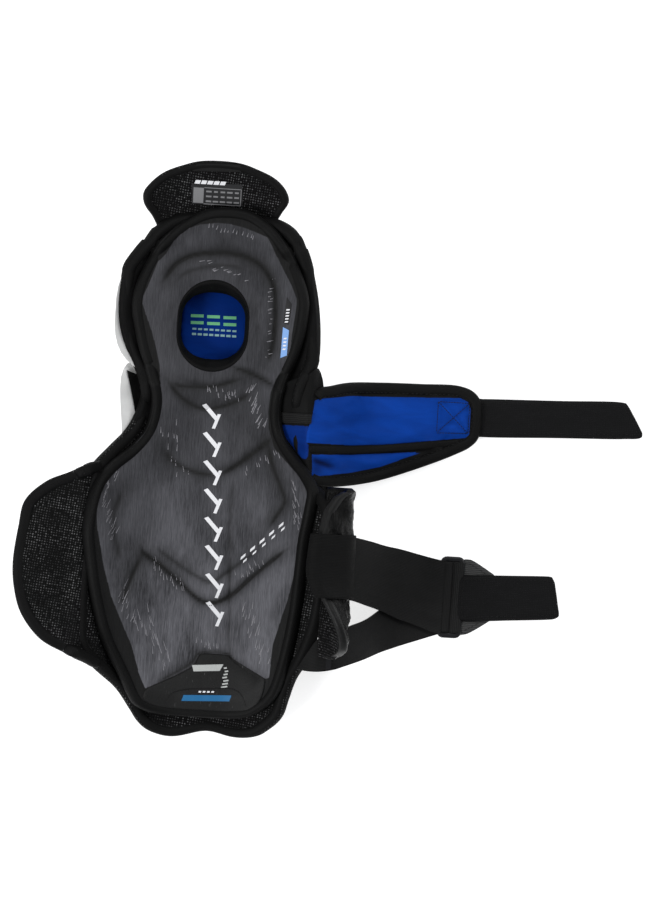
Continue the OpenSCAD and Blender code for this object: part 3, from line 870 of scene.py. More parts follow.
# The edge of the charcoal print on the liner; the rest of the liner is black
PRINT_EDGE = ((-6, 246), (-19, 244), (-29, 240), (-36, 233.5), (-42.5, 221), (-48, 215), (-52.5, 201),
              (-57.5, 188), (-57.3, 184), (-54.5, 177), (-49, 163), (-45, 151), (-42, 139), (-41, 125),
              (-41.5, 110), (-44.5, 96), (-53, 86.5), (-63, 75), (-72.5, 64), (-78.5, 53), (-81, 39),
              (-80, 22), (-77, 8), (-73, -10), (-66.5, -31), (-61, -43), (-50, -66), (-43.5, -86),
              (-38.5, -96.5), (-17.5, -86), (-5, -78.5), (-1, -70), (21, -68.5), (24.5, -71.5),
              (49, -84), (51.5, -83), (52.5, -59.5), (58, -38), (61.5, -25.5), (65.5, -4), (67.3, 10),
              (67.5, 27), (72, 42), (72.4, 53.5), (66, 63.5), (57.5, 72), (45, 84.5), (40, 98.5),
              (39, 110.5), (40, 125.5), (44.5, 137.5), (52, 150), (53, 170), (55, 189), (54.7, 194.5),
              (50, 204.5), (44, 214.5), (37.5, 226), (31, 237.5), (26, 239.5), (13.5, 243.7), (3.3, 245.6))


def crease_trees():
    out = []
    for points, width, depth in CREASES:
        line = spline([(x, y, 0) for x, y in points], 0.8)
        tree = KDTree(len(line))
        for i, p in enumerate(line):
            tree.insert(p, i)
        tree.balance()
        start, end = (Vector((p.x, p.y, 0)) for p in (line[0], line[-1]))
        out.append((tree, width, depth, start, end))
    return out


crease_data = crease_trees()


def creases(x, y):
    """How deep the moulded creases are at a place, as a sharp part and a soft part."""
    place = Vector((x, y, 0))
    sharp = soft = 0.0
    for tree, width, depth, start, end in crease_data:
        away = tree.find(place)[2]
        if away < width * 3.5:
            ends = smooth(0, 11, min((place - start).length, (place - end).length) + away * 0.2)
            sharp += depth * (0.25 + 0.75 * ends) * bell(away, width * 0.42)
            soft += depth * (0.25 + 0.75 * ends) * bell(away, width * 1.7)
    return sharp, soft


def relief(x, y):
    """The liner's moulded creases, its raised ring round the knee opening and its soft panels."""
    sharp, soft = creases(x, y)
    out = 2.2 * bell(cup_distance(x, y) - 7, 6) - 1.0 * sharp - 1.1 * soft
    return out + 0.7 * perlin(Vector((x, y, 3)) * 0.03) + 0.3 * perlin(Vector((x * 0.16, y * 0.05, 9)))


# Painted shade: how much the liner's colour is darkened in its moulded creases.
def crease_painted_shade(x, y):
    sharp, soft = creases(x, y)
    return clamp(0.5 * sharp + 0.3 * soft)


def liner_face(x, y):
    """The liner's upper face, without its rounded edge."""
    rest = liner_bottom(x, y) + LINER_T - lookup(y, ((235, 0), (258, 4)))
    away = liner_outline.distance(x, y)
    return rest + relief(x, y) * smooth(4, 14, away) - 3.4 * (1 - smooth(2, 17, away))


def liner_middle(x, y):
    return (liner_face(x, y) + liner_bottom(x, y)) / 2 + 0.6


def bind_edge(names, line, bend, size, paint, sewn_at, nodes, closed=True):
    """The tape round a pad's edge, which stands for the nodes, and its row of stitches."""
    edge = sweep(names[0], line[::2], tape_profile(*size), paint, closed=closed)
    bend(edge)
    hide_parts(*nodes)
    sewn = stitches(names[1], line, *sewn_at, THREAD)
    bend(sewn)


def bend_at_waist(piece):
    """Fabric that crosses the flex line at the waist."""
    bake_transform(piece)


def build_liner():
    pad = panel("liner_pad", liner_outline, liner_face, liner_bottom, [LINER], cell=1.5, edge=5,
                hole=rim_distance)
    edge = Region(PRINT_EDGE)
    add_field(pad, "print", edge.inside)
    # The "crease" field holds painted shade for the creases.
    add_field(pad, "crease", crease_painted_shade)
    bend_at_waist(pad)
    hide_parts("liner_shin_pad", "liner_knee_pad")

    line = stations(liner_outline.points, liner_middle)
    bind_edge(("liner_binding", "liner_binding_stitches"), line,
              lambda piece: bend_at_waist(piece), (7.6, 8.8), LINER_BINDING,
              (5.9, 3.1), ("liner_shin_binding", "liner_knee_binding"))


def build_cup_rim():
    """The black funnel that lines the knee opening: deeper in at its two ends than at its sides."""
    around = []
    for end in (1, -1):
        for k in range(61):
            angle = math.pi * k / 60 + (0 if end == 1 else math.pi)
            around.append(Vector((CUP_X - RIM_SHIFT + LINING_R * math.cos(angle),
                                  CUP_Y + end * CUP_STRAIGHT / 2 + LINING_R * math.sin(angle))))
    line = []
    for p in resample(around, 1.5, closed=True):
        out = Vector((p.x - CUP_X + RIM_SHIFT, (p.y - CUP_Y) * 0.82, 0)).normalized()
        rise = liner_face(p.x + out.x, p.y + out.y)
        reach = 0.75 + 1.6 * abs(out.y) ** 2.5
        line.append((Vector((p.x, p.y, rise)), -out * reach, UP))
    drop = node_box("knee_opening_rim")[0].z - min(place.z for place, _, _ in line)
    profile = [(-0.7, 0.1), (-0.2, 0.7), (0.4, 0.6), (0.9, -0.6), (1.4, -2.5), (2.2, drop * 0.5),
               (3.3, drop + 1.2), (2.6, drop + 0.4), (1.0, drop * 0.5), (0.3, -3), (-0.5, -1.2)]
    rim = sweep("knee_opening_lining", line, profile, KNIT)
    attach(rim, "liner_knee")
    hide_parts("knee_opening_rim")


def build_liner_marks():
    """Generic leaning bars where the liner carries its prints, and the small tag on its right."""
    bars = []
    middle_y = 108.0
    for k in range(8):
        x = -3 + 1.6 * k
        bars.append(slanted(x, middle_y, 3.2, 14, lean=-5, turn=24))
        bars.append(slanted(x + 4.5, middle_y - 6.5, 2.4, 11, lean=3, turn=-4))
        middle_y -= 20.6
    for k in range(5):
        bars.append(slanted(27 + 6.6 * k, 4 + 6.2 * k, 4.6, 1.5, lean=1.5, turn=43))
        bars.append(slanted(28.5 + 6.6 * k, 1.2 + 6.2 * k, 3.4, 1.1, lean=1.5, turn=43))
    marks = patches("liner_bars", bars, liner_face, WHITE_INK, thickness=0.25)
    bend_at_waist(marks)

    tag = [(45.5, 150.5), (50, 152.5), (50.5, 171), (46, 173)]
    blue = patches("size_tag_blue", [tag], liner_face, SKY_INK)
    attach(blue, "liner_knee")
    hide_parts("liner_size_tag")
    dark = [(46, 176), (50.2, 175), (51.5, 190), (47.5, 195)]
    black = patches("size_tag_black", [dark], liner_face, BLACK_INK, thickness=0.3)
    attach(black, "liner_knee")
    dashes = [slanted(48.3 + 0.15 * k, 177 + 2.2 * k, 2.4, 1.0, lean=0.5, turn=4) for k in range(5)]
    dashes += [slanted(47.8 + 0.1 * k, 157 + 2.6 * k, 2.2, 1.1, lean=0.6, turn=4) for k in range(4)]
    small = patches("size_tag_dashes", dashes, liner_face, WHITE_INK, thickness=0.5)
    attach(small, "liner_knee")


# Groups of pale brush strokes: (from, to, how many, turn, length, scatter)
STROKE_GROUPS = (((-74, 40), (-66, 12), 22, -20, 4.5, 3), ((-40, -2), (-14, -24), 20, 8, 4.0, 2.5),
                 ((-46, -40), (-22, -76), 26, 14, 6.5, 6), ((-60, -20), (-52, -48), 14, -14, 6.0, 4),
                 ((30, -28), (47, -72), 24, -12, 6.5, 5), ((62, 60), (66, 26), 20, 20, 4.5, 3),
                 ((24, 128), (36, 100), 22, -22, 5.5, 3), ((-6, 126), (16, 120), 20, 12, 3.5, 3),
                 ((36, 208), (37, 150), 18, -75, 2.8, 1.5), ((-16, 216), (18, 208), 14, -70, 3.2, 3),
                 ((-14, 243), (22, 238), 12, -10, 2.6, 1.5), ((-34, 100), (-20, 60), 14, 4, 4.5, 6),
                 ((24, 66), (50, 82), 10, 16, 4.0, 3), ((-66, 66), (-78, 44), 12, -16, 4.5, 2.5),
                 ((-2, -60), (14, -64), 10, 4, 3.5, 2), ((22, -10), (40, 0), 12, 20, 3.5, 3))


def build_liner_strokes():
    """Thin tapered brush strokes printed on the liner in groups."""
    shapes = []
    for start, end, count, turn, length, scatter in STROKE_GROUPS:
        for k in range(count):
            t = (k + random.random()) / count
            x = lerp(start[0], end[0], t) + random.uniform(-scatter, scatter)
            y = lerp(start[1], end[1], t) + random.uniform(-scatter, scatter)
            reach = length * random.uniform(0.6, 1.3)
            bar = slanted(x, y, 0.62, reach, turn=turn + random.uniform(-9, 9))
            middle = (Vector(bar[2]) + Vector(bar[3])) / 2
            tip = [middle.lerp(Vector(corner), 0.3) for corner in bar[2:]]
            shapes.append([bar[0], bar[1], *tip])
    marks = patches("liner_brush_strokes", shapes, liner_face, STROKE_INK, thickness=0.14)
    bend_at_waist(marks)


def build_abrasion_panel():
    """The black wear panel at the liner's lower end, with its silver, blue and speckled patches."""
    outline = Outline(((-108, -34, 38), (-104, -40, 44), (-97, -38.5, 47.5), (-95.5, -36, 48),
                       (-86, -17.5, 49), (-84, -14, 48.5), (-79, -5.5, 38.5), (-78, -4.5, 36.5),
                       (-71.5, -1.5, 24.5), (-70, -0.8, 22.5), (-69, -0.5, 21)))

    def top(x, y):
        return liner_face(x, y) + 0.55

    def bottom(x, y):
        return liner_face(x, y) - 0.6

    speckles = [slanted(19 + 0.5 * (k % 3), -92 + 2.3 * k, 4.6 - 0.4 * k, 1.1, turn=12) for k in range(7)]
    base = panel("abrasion_panel_face", outline, top, bottom, [ABRASION], cell=1.6, edge=1.0)
    pieces = [base]
    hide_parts("abrasion_panel")
    for name, shapes, paint in (
            ("abrasion_silver_patch", [[(-4, -82), (15, -80.5), (17.5, -75.5), (-5.5, -77.5)]], SILVER_INK),
            ("abrasion_speckled_patch", speckles, SILVER_INK),
            ("abrasion_blue_patch", [slanted(6.5, -101, 35, 4.4, lean=1.6, turn=3)], CYAN_INK),
            ("abrasion_small_bars", [slanted(1.5 + 3.1 * k, -96.6 + 0.15 * k, 1.9, 1.2, lean=0.4)
                                     for k in range(4)], WHITE_INK)):
        pieces.append(patches(name, shapes, top, paint, thickness=0.3))
    arch = [(-24, -107), (-19, -99.5), (-9, -96), (8, -94.3), (25, -93.6), (32, -97.5), (36, -106)]
    line = [(Vector((p.x, p.y, top(p.x, p.y))), Vector((0, 1, 0)), UP) for p in spline(arch, 1.5)]
    pieces.append(sweep("abrasion_arch", line, tape_profile(0.9, 0.7, count=8), THREAD, closed=False))
    for piece in pieces:
        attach(piece, "liner")


# ---------------------------------------------------------------- foam carrier

CARRIER_ROWS = ((-128, -33, 42), (-122, -42, 52), (-112, -49, 61), (-98, -59, 65), (-84, -75, 69),
                (-70, -88, 76), (-40, -91, 85), (0, -91, 88), (45, -90, 88), (57, -88, 80), (66, -84, 70),
                (80, -73, 68), (92, -63, 66), (104, -57, 65), (117, -54, 64), (128, -55, 65),
                (140, -60, 69), (152, -66.5, 72), (170, -72, 72), (192, -73, 69.5), (210, -71, 65.5),
                (222, -64, 62), (230, -58, 58.5), (238, -52, 54), (245, -45, 48.5), (250, -36, 40),
                (252, -27, 32))
carrier_outline = Outline(CARRIER_ROWS)
FOLD_INSET = 13


def carrier_face(x, y):
    """The carrier's upper face, with the sewn fold that runs round its knee part."""
    away = carrier_outline.distance(x, y)
    fold = 1.6 * bell(away - FOLD_INSET, 1.6) * smooth(118, 140, y)
    roll = 1.1 * bell(away - 8.5, 4.5) * smooth(112, 130, y)
    puffed = 0.5 * perlin(Vector((x, y, 5)) * 0.06)
    return carrier_top(x, y) + top_lift(y) - fold + roll + puffed * smooth(3, 9, away)


def top_lift(y):
    """The carrier's upper end rises over the thigh flap."""
    return lookup(y, ((231, 0), (240, 4.4), (253, 9.5)))


def carrier_bottom(x, y):
    shin = SHIN_TOP - 8.7 + side_rise(x) + right_curl(x)
    knee = min(cup_floor(x, y), carrier_top(x, y) - 4.5)
    over_flap = carrier_top(x, y) + top_lift(y) - 3.4
    return lerp(lerp(shin, knee, smooth(112, 120, y)), over_flap, smooth(233, 239, y))


def carrier_middle(x, y):
    return (carrier_top(x, y) + top_lift(y) + carrier_bottom(x, y)) / 2


def scallop(x, y):
    """The shallow dip in the carrier's lower edge."""
    return (5.0 * bell(x - 8, 15) - 1.5 * bell(x + 21, 12)) * smooth(-108, -125, y)


def build_carrier():
    pad = panel("carrier_pad", carrier_outline, carrier_face, carrier_bottom, [KNIT, MESH], cell=2.0,
                edge=4, hole=lambda x, y: cup_distance(x, y, CUP_R + 0.5),
                zone=lambda x, y: 1 if y < 100 else 0, warp=scallop)
    bend_at_waist(pad)
    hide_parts("shin_carrier", "knee_carrier")
    points = [Vector((p.x, p.y + scallop(p.x, p.y))) for p in carrier_outline.points]
    line = stations(points, carrier_middle)
    bind_edge(("carrier_binding", "carrier_binding_stitches"), line,
              lambda piece: bend_at_waist(piece), (8.5, 10.0), BINDING,
              (7.2, 4.2), ("shin_carrier_binding", "knee_carrier_binding"))


def build_waist_gusset():
    """The dark cloth between the cap's left lobe and the carrier at the waist."""
    def top(x, y):
        return 3 + side_rise(x) + 3.9

    shapes = [[(-57, 98), (-50, 99), (-50, 120), (-60.5, 114)],
              [(-60.5, 114), (-50, 120), (-52, 130), (-66, 135)]]
    gusset = patches("waist_gusset", shapes, top, KNIT, thickness=0.8, sink=0.3)
    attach(gusset, "shin")


def build_wing_gusset():
    """The cloth between the carrier's right edge and the right wing's upper end."""
    level = 50.5
    gusset = patches("wing_gusset", [[(78, 46), (91, 50), (89, 58.5), (74, 60)]], lambda x, y: level, COATED,
                     thickness=0.9, sink=0.3)
    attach(gusset, "shin")


def build_cup_pad():
    """The blue pad at the bottom of the knee opening, crowned, with generic bars on it."""
    low, high = node_box("knee_cup_pad")
    radius = (high.x - low.x) / 2
    rows = []
    for k in range(13):
        angle = math.pi * (k / 12 - 0.5)
        reach = radius * max(math.cos(angle), 0.12)
        shift = math.copysign(CUP_STRAIGHT / 2, angle) if k != 6 else 0
        rows.append((CUP_Y + radius * math.sin(angle) + shift, CUP_X - reach, CUP_X + reach))
    outline = Outline(rows)

    def top(x, y):
        away = clamp(-cup_distance(x, y, radius) / radius)
        return high.z - 3.5 + 3.2 * math.sqrt(away) + 0.3 * perlin(Vector((x, y, 1)) * 0.09)

    pad = panel("knee_cup_cushion", outline, top, lambda x, y: max(cup_floor(x, y) + 0.3, low.z), [PAD_BLUE],
                cell=1.4, edge=3)
    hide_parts("knee_cup_pad")
    big = [slanted(CUP_X - 13.5 + 12 * k, CUP_Y + 7, 9.4, 2.2, turn=1.5) for k in range(3)]
    big += [slanted(CUP_X - 13.2 + 12 * k, CUP_Y + 2, 9.4, 2.2, turn=1.5) for k in range(3)]
    green = patches("knee_cup_bars", big, top, GREEN_INK)
    thin = [slanted(CUP_X - 15 + 4.2 * k, CUP_Y - 2.6, 2.9, 1.4, turn=1.5) for k in range(8)]
    thin += [slanted(CUP_X - 15 + 4.2 * k, CUP_Y - 6.4, 3.1, 1.6, turn=1.5) for k in range(8)]
    mint = patches("knee_cup_small_bars", thin, top, MINT_INK)
    for piece in (pad, green, mint):
        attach(piece, "knee")


# ---------------------------------------------------------------- thigh flap

FLAP_ROOT = 239
FLAP_SLOPE = math.tan(math.radians(25))
flap_outline = Outline(((FLAP_ROOT - 9, -43, 34), (FLAP_ROOT, -49, 35), (248, -54, 36), (256, -60, 40),
                        (264, -61, 44.5), (272, -56, 42), (280, -47, 34), (286, -34, 21), (290, -20, 7)))


def flap_middle(x, y):
    return 24 + (y - FLAP_ROOT) * FLAP_SLOPE + 0.006 * max(0, abs(x) - FRONT_HALF) ** 2


def flap_top(x, y):
    away = flap_outline.distance(x, y)
    return flap_middle(x, y) + 2.4 + 0.4 * perlin(Vector((x, y, 2)) * 0.07) * smooth(2, 8, away)


def fold_flap(piece):
    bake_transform(piece)


def build_thigh_flap():
    pad = panel("thigh_flap_cushion", flap_outline, flap_top, lambda x, y: flap_middle(x, y) - 2.4, [MESH],
                cell=2.0, edge=3)
    fold_flap(pad)
    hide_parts("thigh_flap_pad")
    line = stations(flap_outline.points, flap_middle)
    bind_edge(("thigh_flap_edge", "thigh_flap_stitches"), line, fold_flap, (6.0, 6.2), BINDING,
              (5.0, 2.5), ["thigh_flap_binding"])
    strip = patches("thigh_flap_top_strip", [[(-27, 282.5), (8, 284), (8, 289.2), (-24, 288)]], flap_top,
                    FLAP_STRIP, thickness=0.9)
    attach(strip, "thigh_flap")


def build_flap_label():
    """The blank woven label: a dark ground with pale frames and generic bars."""
    low, high = node_box("thigh_flap_label")
    ground = patches("thigh_flap_label_ground",
                     [[(low.x, low.y), (high.x, low.y + 1), (high.x - 1, high.y + 1), (low.x - 1, high.y)]],
                     flap_top, DARK_LABEL, thickness=0.8)
    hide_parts("thigh_flap_label")
    bars = [slanted(low.x + 4.5, low.y + 6.5, 7.5, 11)]
    for row in range(3):
        for k in range(5):
            width = 4.0 - (k * row) % 3 * 0.6
            bars.append(slanted(low.x + 12 + 5.1 * k, low.y + 2.6 + 3.5 * row, width, 1.2))
    frame_bars = ((low.x + 22, low.y + 0.6, 27, 0.5), (low.x + 22, low.y + 12.2, 27, 0.5))
    bars += [slanted(*bar) for bar in frame_bars] + [slanted(low.x + 35.5, low.y + 6.4, 0.5, 12)]
    heading = [slanted(low.x + 3.5 + 4.6 * k, high.y + 1.0, 3.8, 2.6, lean=1.0) for k in range(5)]
    pale = patches("thigh_flap_label_bars", bars, flap_top, LABEL, thickness=1.05)
    white = patches("thigh_flap_label_heading", heading, flap_top, WHITE_INK, thickness=1.05)
    for piece in (ground, pale, white):
        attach(piece, "thigh_flap")


# ---------------------------------------------------------------- calf wings

WING_ROOT = -94.5
WING_SLOPE = math.tan(math.radians(12))
WING_T = 7
WING_EDGE = -91
wing_outline = Outline(((-83, -76, -67), (-80, -82, -66.5), (-73.5, -97, -67), (-64, -116, -68),
                        (-46, -131, -72), (-28, -137, -77), (-10, -139, -81), (17, -136.5, -84),
                        (36, -133, -82), (51, -118, -79), (58, -103, -77), (63, -93, -75), (67, -85, -72)))


def wing_top(x, y):
    """The wing's upper face: on the carrier's edge at its root, and level further out."""
    away = wing_outline.distance(x, y)
    level = 69.2 + (WING_ROOT - x) * WING_SLOPE - 1.0 * (1 - smooth(5, 15, away))
    root = carrier_top(max(x, WING_EDGE), y) + 1.0
    return lerp(level, root, smooth(-99, WING_EDGE + 1, x)) + 0.4 * perlin(Vector((x, y, 3)) * 0.05)


def wing_depth(x):
    return lerp(WING_T - 1.5, 0.9, smooth(-99, WING_EDGE, x))


def wing_bottom(x, y):
    return wing_top(x, y) - wing_depth(x)


def wing_middle(x, y):
    return wing_top(x, y) - wing_depth(x) / 2


def fold_left_wing(piece):
    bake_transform(piece)


def build_left_wing():
    pad = panel("left_wing_cushion", wing_outline, wing_top, wing_bottom, [MESH], cell=3.2, edge=3)
    puff(pad, lambda x, y: 1.0 if x > -99 or wing_outline.distance(x, y) < 7 else 0.0, pressure=1.2, cap=1.4)
    subdivide(pad)
    fold_left_wing(pad)
    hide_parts("left_wing_pad")
    points = wing_outline.points
    hidden = [p.x > lookup(p.y, ((-83, -74), (-70, -80), (50, -85), (67, -80))) for p in points]
    start = next(i for i in range(len(points)) if not hidden[i] and hidden[i - 1])
    order = [(start + i) % len(points) for i in range(len(points))]
    free = [points[i] for i in order if not hidden[i]]
    line = stations(free, wing_middle, closed=False)
    bind_edge(("left_wing_edge", "left_wing_stitches"), line, fold_left_wing, (8.5, 7.4), BINDING,
              (6.3, 2.9), ["left_wing_binding"], closed=False)
    for node in ("upper_loop_patch", "lower_loop_patch"):
        low, high = node_box(node)
        outline = Outline(((low.y, low.x + 2, high.x - 2), (low.y + 2, low.x, high.x),
                           (high.y - 2, low.x, high.x), (high.y, low.x + 2, high.x - 2)))
        patch = panel(node + "_tape", outline, lambda x, y: wing_bottom(x, y) + 0.5,
                      lambda x, y: wing_bottom(x, y) - 1.3, [LOOPS], cell=2.0, edge=0.8)
        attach(patch, "left_wing")
        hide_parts(node)


RIGHT_ROOT = Vector((91, 0, 67))
BEND = 31.8
# Rows of (place along the leg, length, angle at the root in degrees, angle past the bend)
RIGHT_ROWS = ((-66, 18, 60, 75), (-58, 38, 55, 80), (-45, 48, 40, 95), (-30, 54, 20, 115),
              (-15, 56, 10, 132), (0, 56, 10, 140), (22, 54, 10, 140), (42, 50, 10, 138),
              (52, 44, 12, 132), (59, 34, 18, 120))
RIGHT_HALF = 3
MESH_TOP = 5


def right_row(y):
    """The wing's length and its two angles at one place along the leg, on a smooth curve."""
    ys = [row[0] for row in RIGHT_ROWS]
    i = max(0, min(len(ys) - 2, next((k for k in range(len(ys) - 1) if y <= ys[k + 1]), len(ys) - 2)))
    t = clamp((y - ys[i]) / (ys[i + 1] - ys[i]))
    pick = [Vector(RIGHT_ROWS[max(0, min(len(ys) - 1, i + k))][1:]) for k in (-1, 0, 1, 2)]
    return catmull(*pick, t)


def right_place(s, y, out):
    """A place on the right wing: s from its root, out from its middle surface."""
    _, a0, a1 = right_row(y)
    bend = clamp(s, -20, BEND)
    rate = (a1 - a0) / BEND
    first, angle = math.radians(a0), math.radians(a0 + rate * max(bend, 0))
    radius = math.degrees(1) / rate
    x, z = RIGHT_ROOT.x, RIGHT_ROOT.z
    if bend > 0:
        x += radius * (math.sin(angle) - math.sin(first))
        z += radius * (math.cos(first) - math.cos(angle))
    straight = s - max(bend, 0)
    x += straight * math.cos(angle) + out * math.sin(angle)
    z += straight * math.sin(angle) - out * math.cos(angle)
    return Vector((x, y, z))


def right_length(y):
    return right_row(y)[0]


def sheet_on_right_wing(name, low_y, high_y, start, stop, inner, outer, paints, cell=2.4, crumple=0.0,
                        edge=2.5):
    """A closed pad on the right wing's curved surface, between two places from its root."""
    rows = max(3, round((high_y - low_y) / cell))
    longest = max(stop(lerp(low_y, high_y, i / rows)) - start for i in range(rows + 1))
    cols = max(3, round(longest / cell))
    vertices, faces, uvs, keys = [], [], [], {}
    for i in range(rows + 1):
        y = lerp(low_y, high_y, i / rows)
        last = max(stop(y), start + 1)
        for j in range(cols + 1):
            s = lerp(start, last, j / cols)
            from_edge = min(y - low_y, high_y - y, s - start, last - s)
            share = math.sqrt(1 - (1 - clamp(from_edge / edge)) ** 2)
            rim = i in (0, rows) or j in (0, cols)
            wrinkle = crumple * perlin(Vector((s * 0.09, y * 0.07, 4))) * smooth(0, 8, from_edge)
            wrinkle += crumple * 0.5 * abs(perlin(Vector((s * 0.16, y * 0.2, 7)))) * smooth(0, 8, from_edge)
            middle, half = (inner + outer) / 2, (outer - inner) / 2 * share
            keys[i, j, 0] = len(vertices)
            vertices.append(right_place(s, y, middle + half + wrinkle))
            uvs.append((s, y))
            keys[i, j, 1] = keys[i, j, 0]
            if not rim:
                keys[i, j, 1] = len(vertices)
                vertices.append(right_place(s, y, middle - half + wrinkle * 0.4))
                uvs.append((s, y))
    for i in range(rows):
        for j in range(cols):
            for side in (0, 1):
                corners = ((i, j), (i, j + 1), (i + 1, j + 1), (i + 1, j))
                faces.append([keys[a, b, side] for a, b in corners])
    obj = add_mesh(name, vertices, faces, [[uvs[v] for v in f] for f in faces], paints)
    if len(paints) > 1:
        for index, polygon in enumerate(obj.data.polygons):
            beneath = index % 2 and polygon.center.y / MM < MESH_TOP
            polygon.material_index = 1 if beneath else 0
    return obj


def fold_right_wing(piece):
    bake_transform(piece)


def build_wing_elastic():
    """The elastic sewn over the wing: across its face, round its edge and down its back."""
    thickness = 1.6
    away = RIGHT_HALF + 2.2
    low_y, high_y = -21, 25
    face_start, back_start = 12, 14
    rows = 22
    vertices, uvs, faces = [], [], []
    for i in range(rows + 1):
        y = lerp(low_y, high_y, i / rows)
        end = right_length(y) - 0.5
        for half in (thickness / 2, -thickness / 2):
            route = [(lerp(face_start, end, k / 20), away + half) for k in range(20)]
            turn = [math.radians(90 - 15 * k) for k in range(13)]
            route += [(end + (away + half) * math.cos(a), (away + half) * math.sin(a)) for a in turn]
            route += [(lerp(end, back_start, k / 20), -away - half) for k in range(1, 21)]
            for k, (s, out) in enumerate(route):
                vertices.append(right_place(s, y, out))
                uvs.append((k * 2.4, y))
    count = len(vertices) // (2 * rows + 2)
    for i in range(rows):
        for k in range(count - 1):
            for side in (0, 1):
                a = (2 * i + side) * count + k
                faces.append([a, a + 1, a + 1 + 2 * count, a + 2 * count])
        for k in (0, count - 1):
            a = 2 * i * count + k
            faces.append([a, a + count, a + 3 * count, a + 2 * count])
    for a in (0, 2 * rows * count):
        for k in range(a, a + count - 1):
            faces.append([k, k + 1, k + 1 + count, k + count])
    face_uvs = [[uvs[v] for v in f] for f in faces]
    # The panel takes the darker elastic copy, with painted shade.
    return add_mesh("wing_elastic_panel", vertices, faces, face_uvs, [SHADED_WING_ELASTIC])


def build_right_wing():
    low_y, high_y = RIGHT_ROWS[0][0], RIGHT_ROWS[-1][0]
    pad = sheet_on_right_wing("right_wing_cushion", low_y, high_y, -7, lambda y: right_length(y) - 2,
                              -RIGHT_HALF, RIGHT_HALF, [COATED, MESH], crumple=3.2)
    fold_right_wing(pad)
    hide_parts("right_wing_pad")
    line = []
    count = 70
    for k in range(count + 1):
        y = lerp(low_y + 3, high_y - 3, k / count)
        place = right_place(right_length(y) - 0.5, y, 0)
        inner = right_place(right_length(y) - 2.5, y, 0)
        out = right_place(right_length(y) - 0.5, y, 1) - place
        inward = (inner - place).normalized()
        line.append((place, inward, out.normalized()))
    edge = sweep("right_wing_edge", line, tape_profile(9.0, 6.8), WING_BINDING, closed=False)
    fold_right_wing(edge)
    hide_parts("right_wing_binding")
    patch = build_wing_elastic()
    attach(patch, "right_wing")
    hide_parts("wing_elastic_patch")


# ---------------------------------------------------------------- upper strap

STRAP_ROWS = ((68, 68, 120), (69.5, 62, 126), (75, 59, 130.5), (83, 58.5, 132.5), (96, 59.5, 135.8),
              (120, 64.5, 137.5), (150, 75.5, 138.3), (178, 88, 138.5), (189, 94.5, 134.5), (194.5, 102, 127))
STRAP_FLOOR = ((58, 42), (66, 42), (72, 38.5), (80, 33), (90, 25), (100, 15), (112, 6), (124, 1.5),
               (136, 0.4), (200, 0.4))
strap_outline = Outline(STRAP_ROWS)
STRAP_REST = 0.3
MID_TAPE = ((66, 85), (100, 86.5), (125, 89), (150, 92.5), (190, 98))
STRAP_BLUES = (((60, 90), (60, 119), (71.5, 120.5), (76, 122.5), (99, 126), (179, 129.5), (185, 127),
                (187, 122), (187, 101), (125, 92), (100, 90)),
               ((60, 81), (100, 83), (125, 85.5), (154, 88.5), (123, 75.5), (100, 69.5), (74, 65.5),
                (60, 66)))


def soft_lookup(value, table, spread=3.0):
    """A table read with its corners rounded off."""
    return sum(lookup(value + spread * k, table) for k in (-2, -1, 0, 1, 2)) / 5


def strap_bottom(x, y):
    return soft_lookup(x, STRAP_FLOOR) - 0.6 * (1 - smooth(58, 70, x))


def mid_tape_y(x):
    return soft_lookup(x, MID_TAPE)


def strap_top(x, y):
    """The strap's padded upper face: two blue fields, the seam between them and one deep dimple."""
    away = strap_outline.distance(y, x)
    seam = 1.8 * bell(y - mid_tape_y(x), 5)
    dimple = 3.6 * bell(math.hypot((x - 84) / 1.6, (y - 73) / 0.8), 5.5)
    dimple += 2.4 * bell(abs(y - 76 + 0.25 * (x - 84)), 2.2) * bell(x - 84, 9)
    crown = 2.6 * smooth(4, 16, away)
    folds = 0.9 * perlin(Vector((x * 0.03, y * 0.11, 6))) + 0.4 * perlin(Vector((x * 0.09, y * 0.06, 8)))
    return strap_bottom(x, y) + 6.4 + crown - seam - dimple + folds * smooth(3, 12, away)


def strap_fold_painted_shade(x, y):
    """How much painted shade darkens the dimple at the strap's lower left."""
    streak = bell(y - 76 + 0.3 * (x - 80), 2.4) * smooth(71, 76, x) * (1 - smooth(84, 94, x))
    return clamp(0.95 * streak + 0.5 * bell(math.hypot(x - 77, y - 71), 4))


def strap_middle(x, y):
    return strap_bottom(x, y) + 3.7


def swing_upper_strap(piece):
    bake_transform(piece)


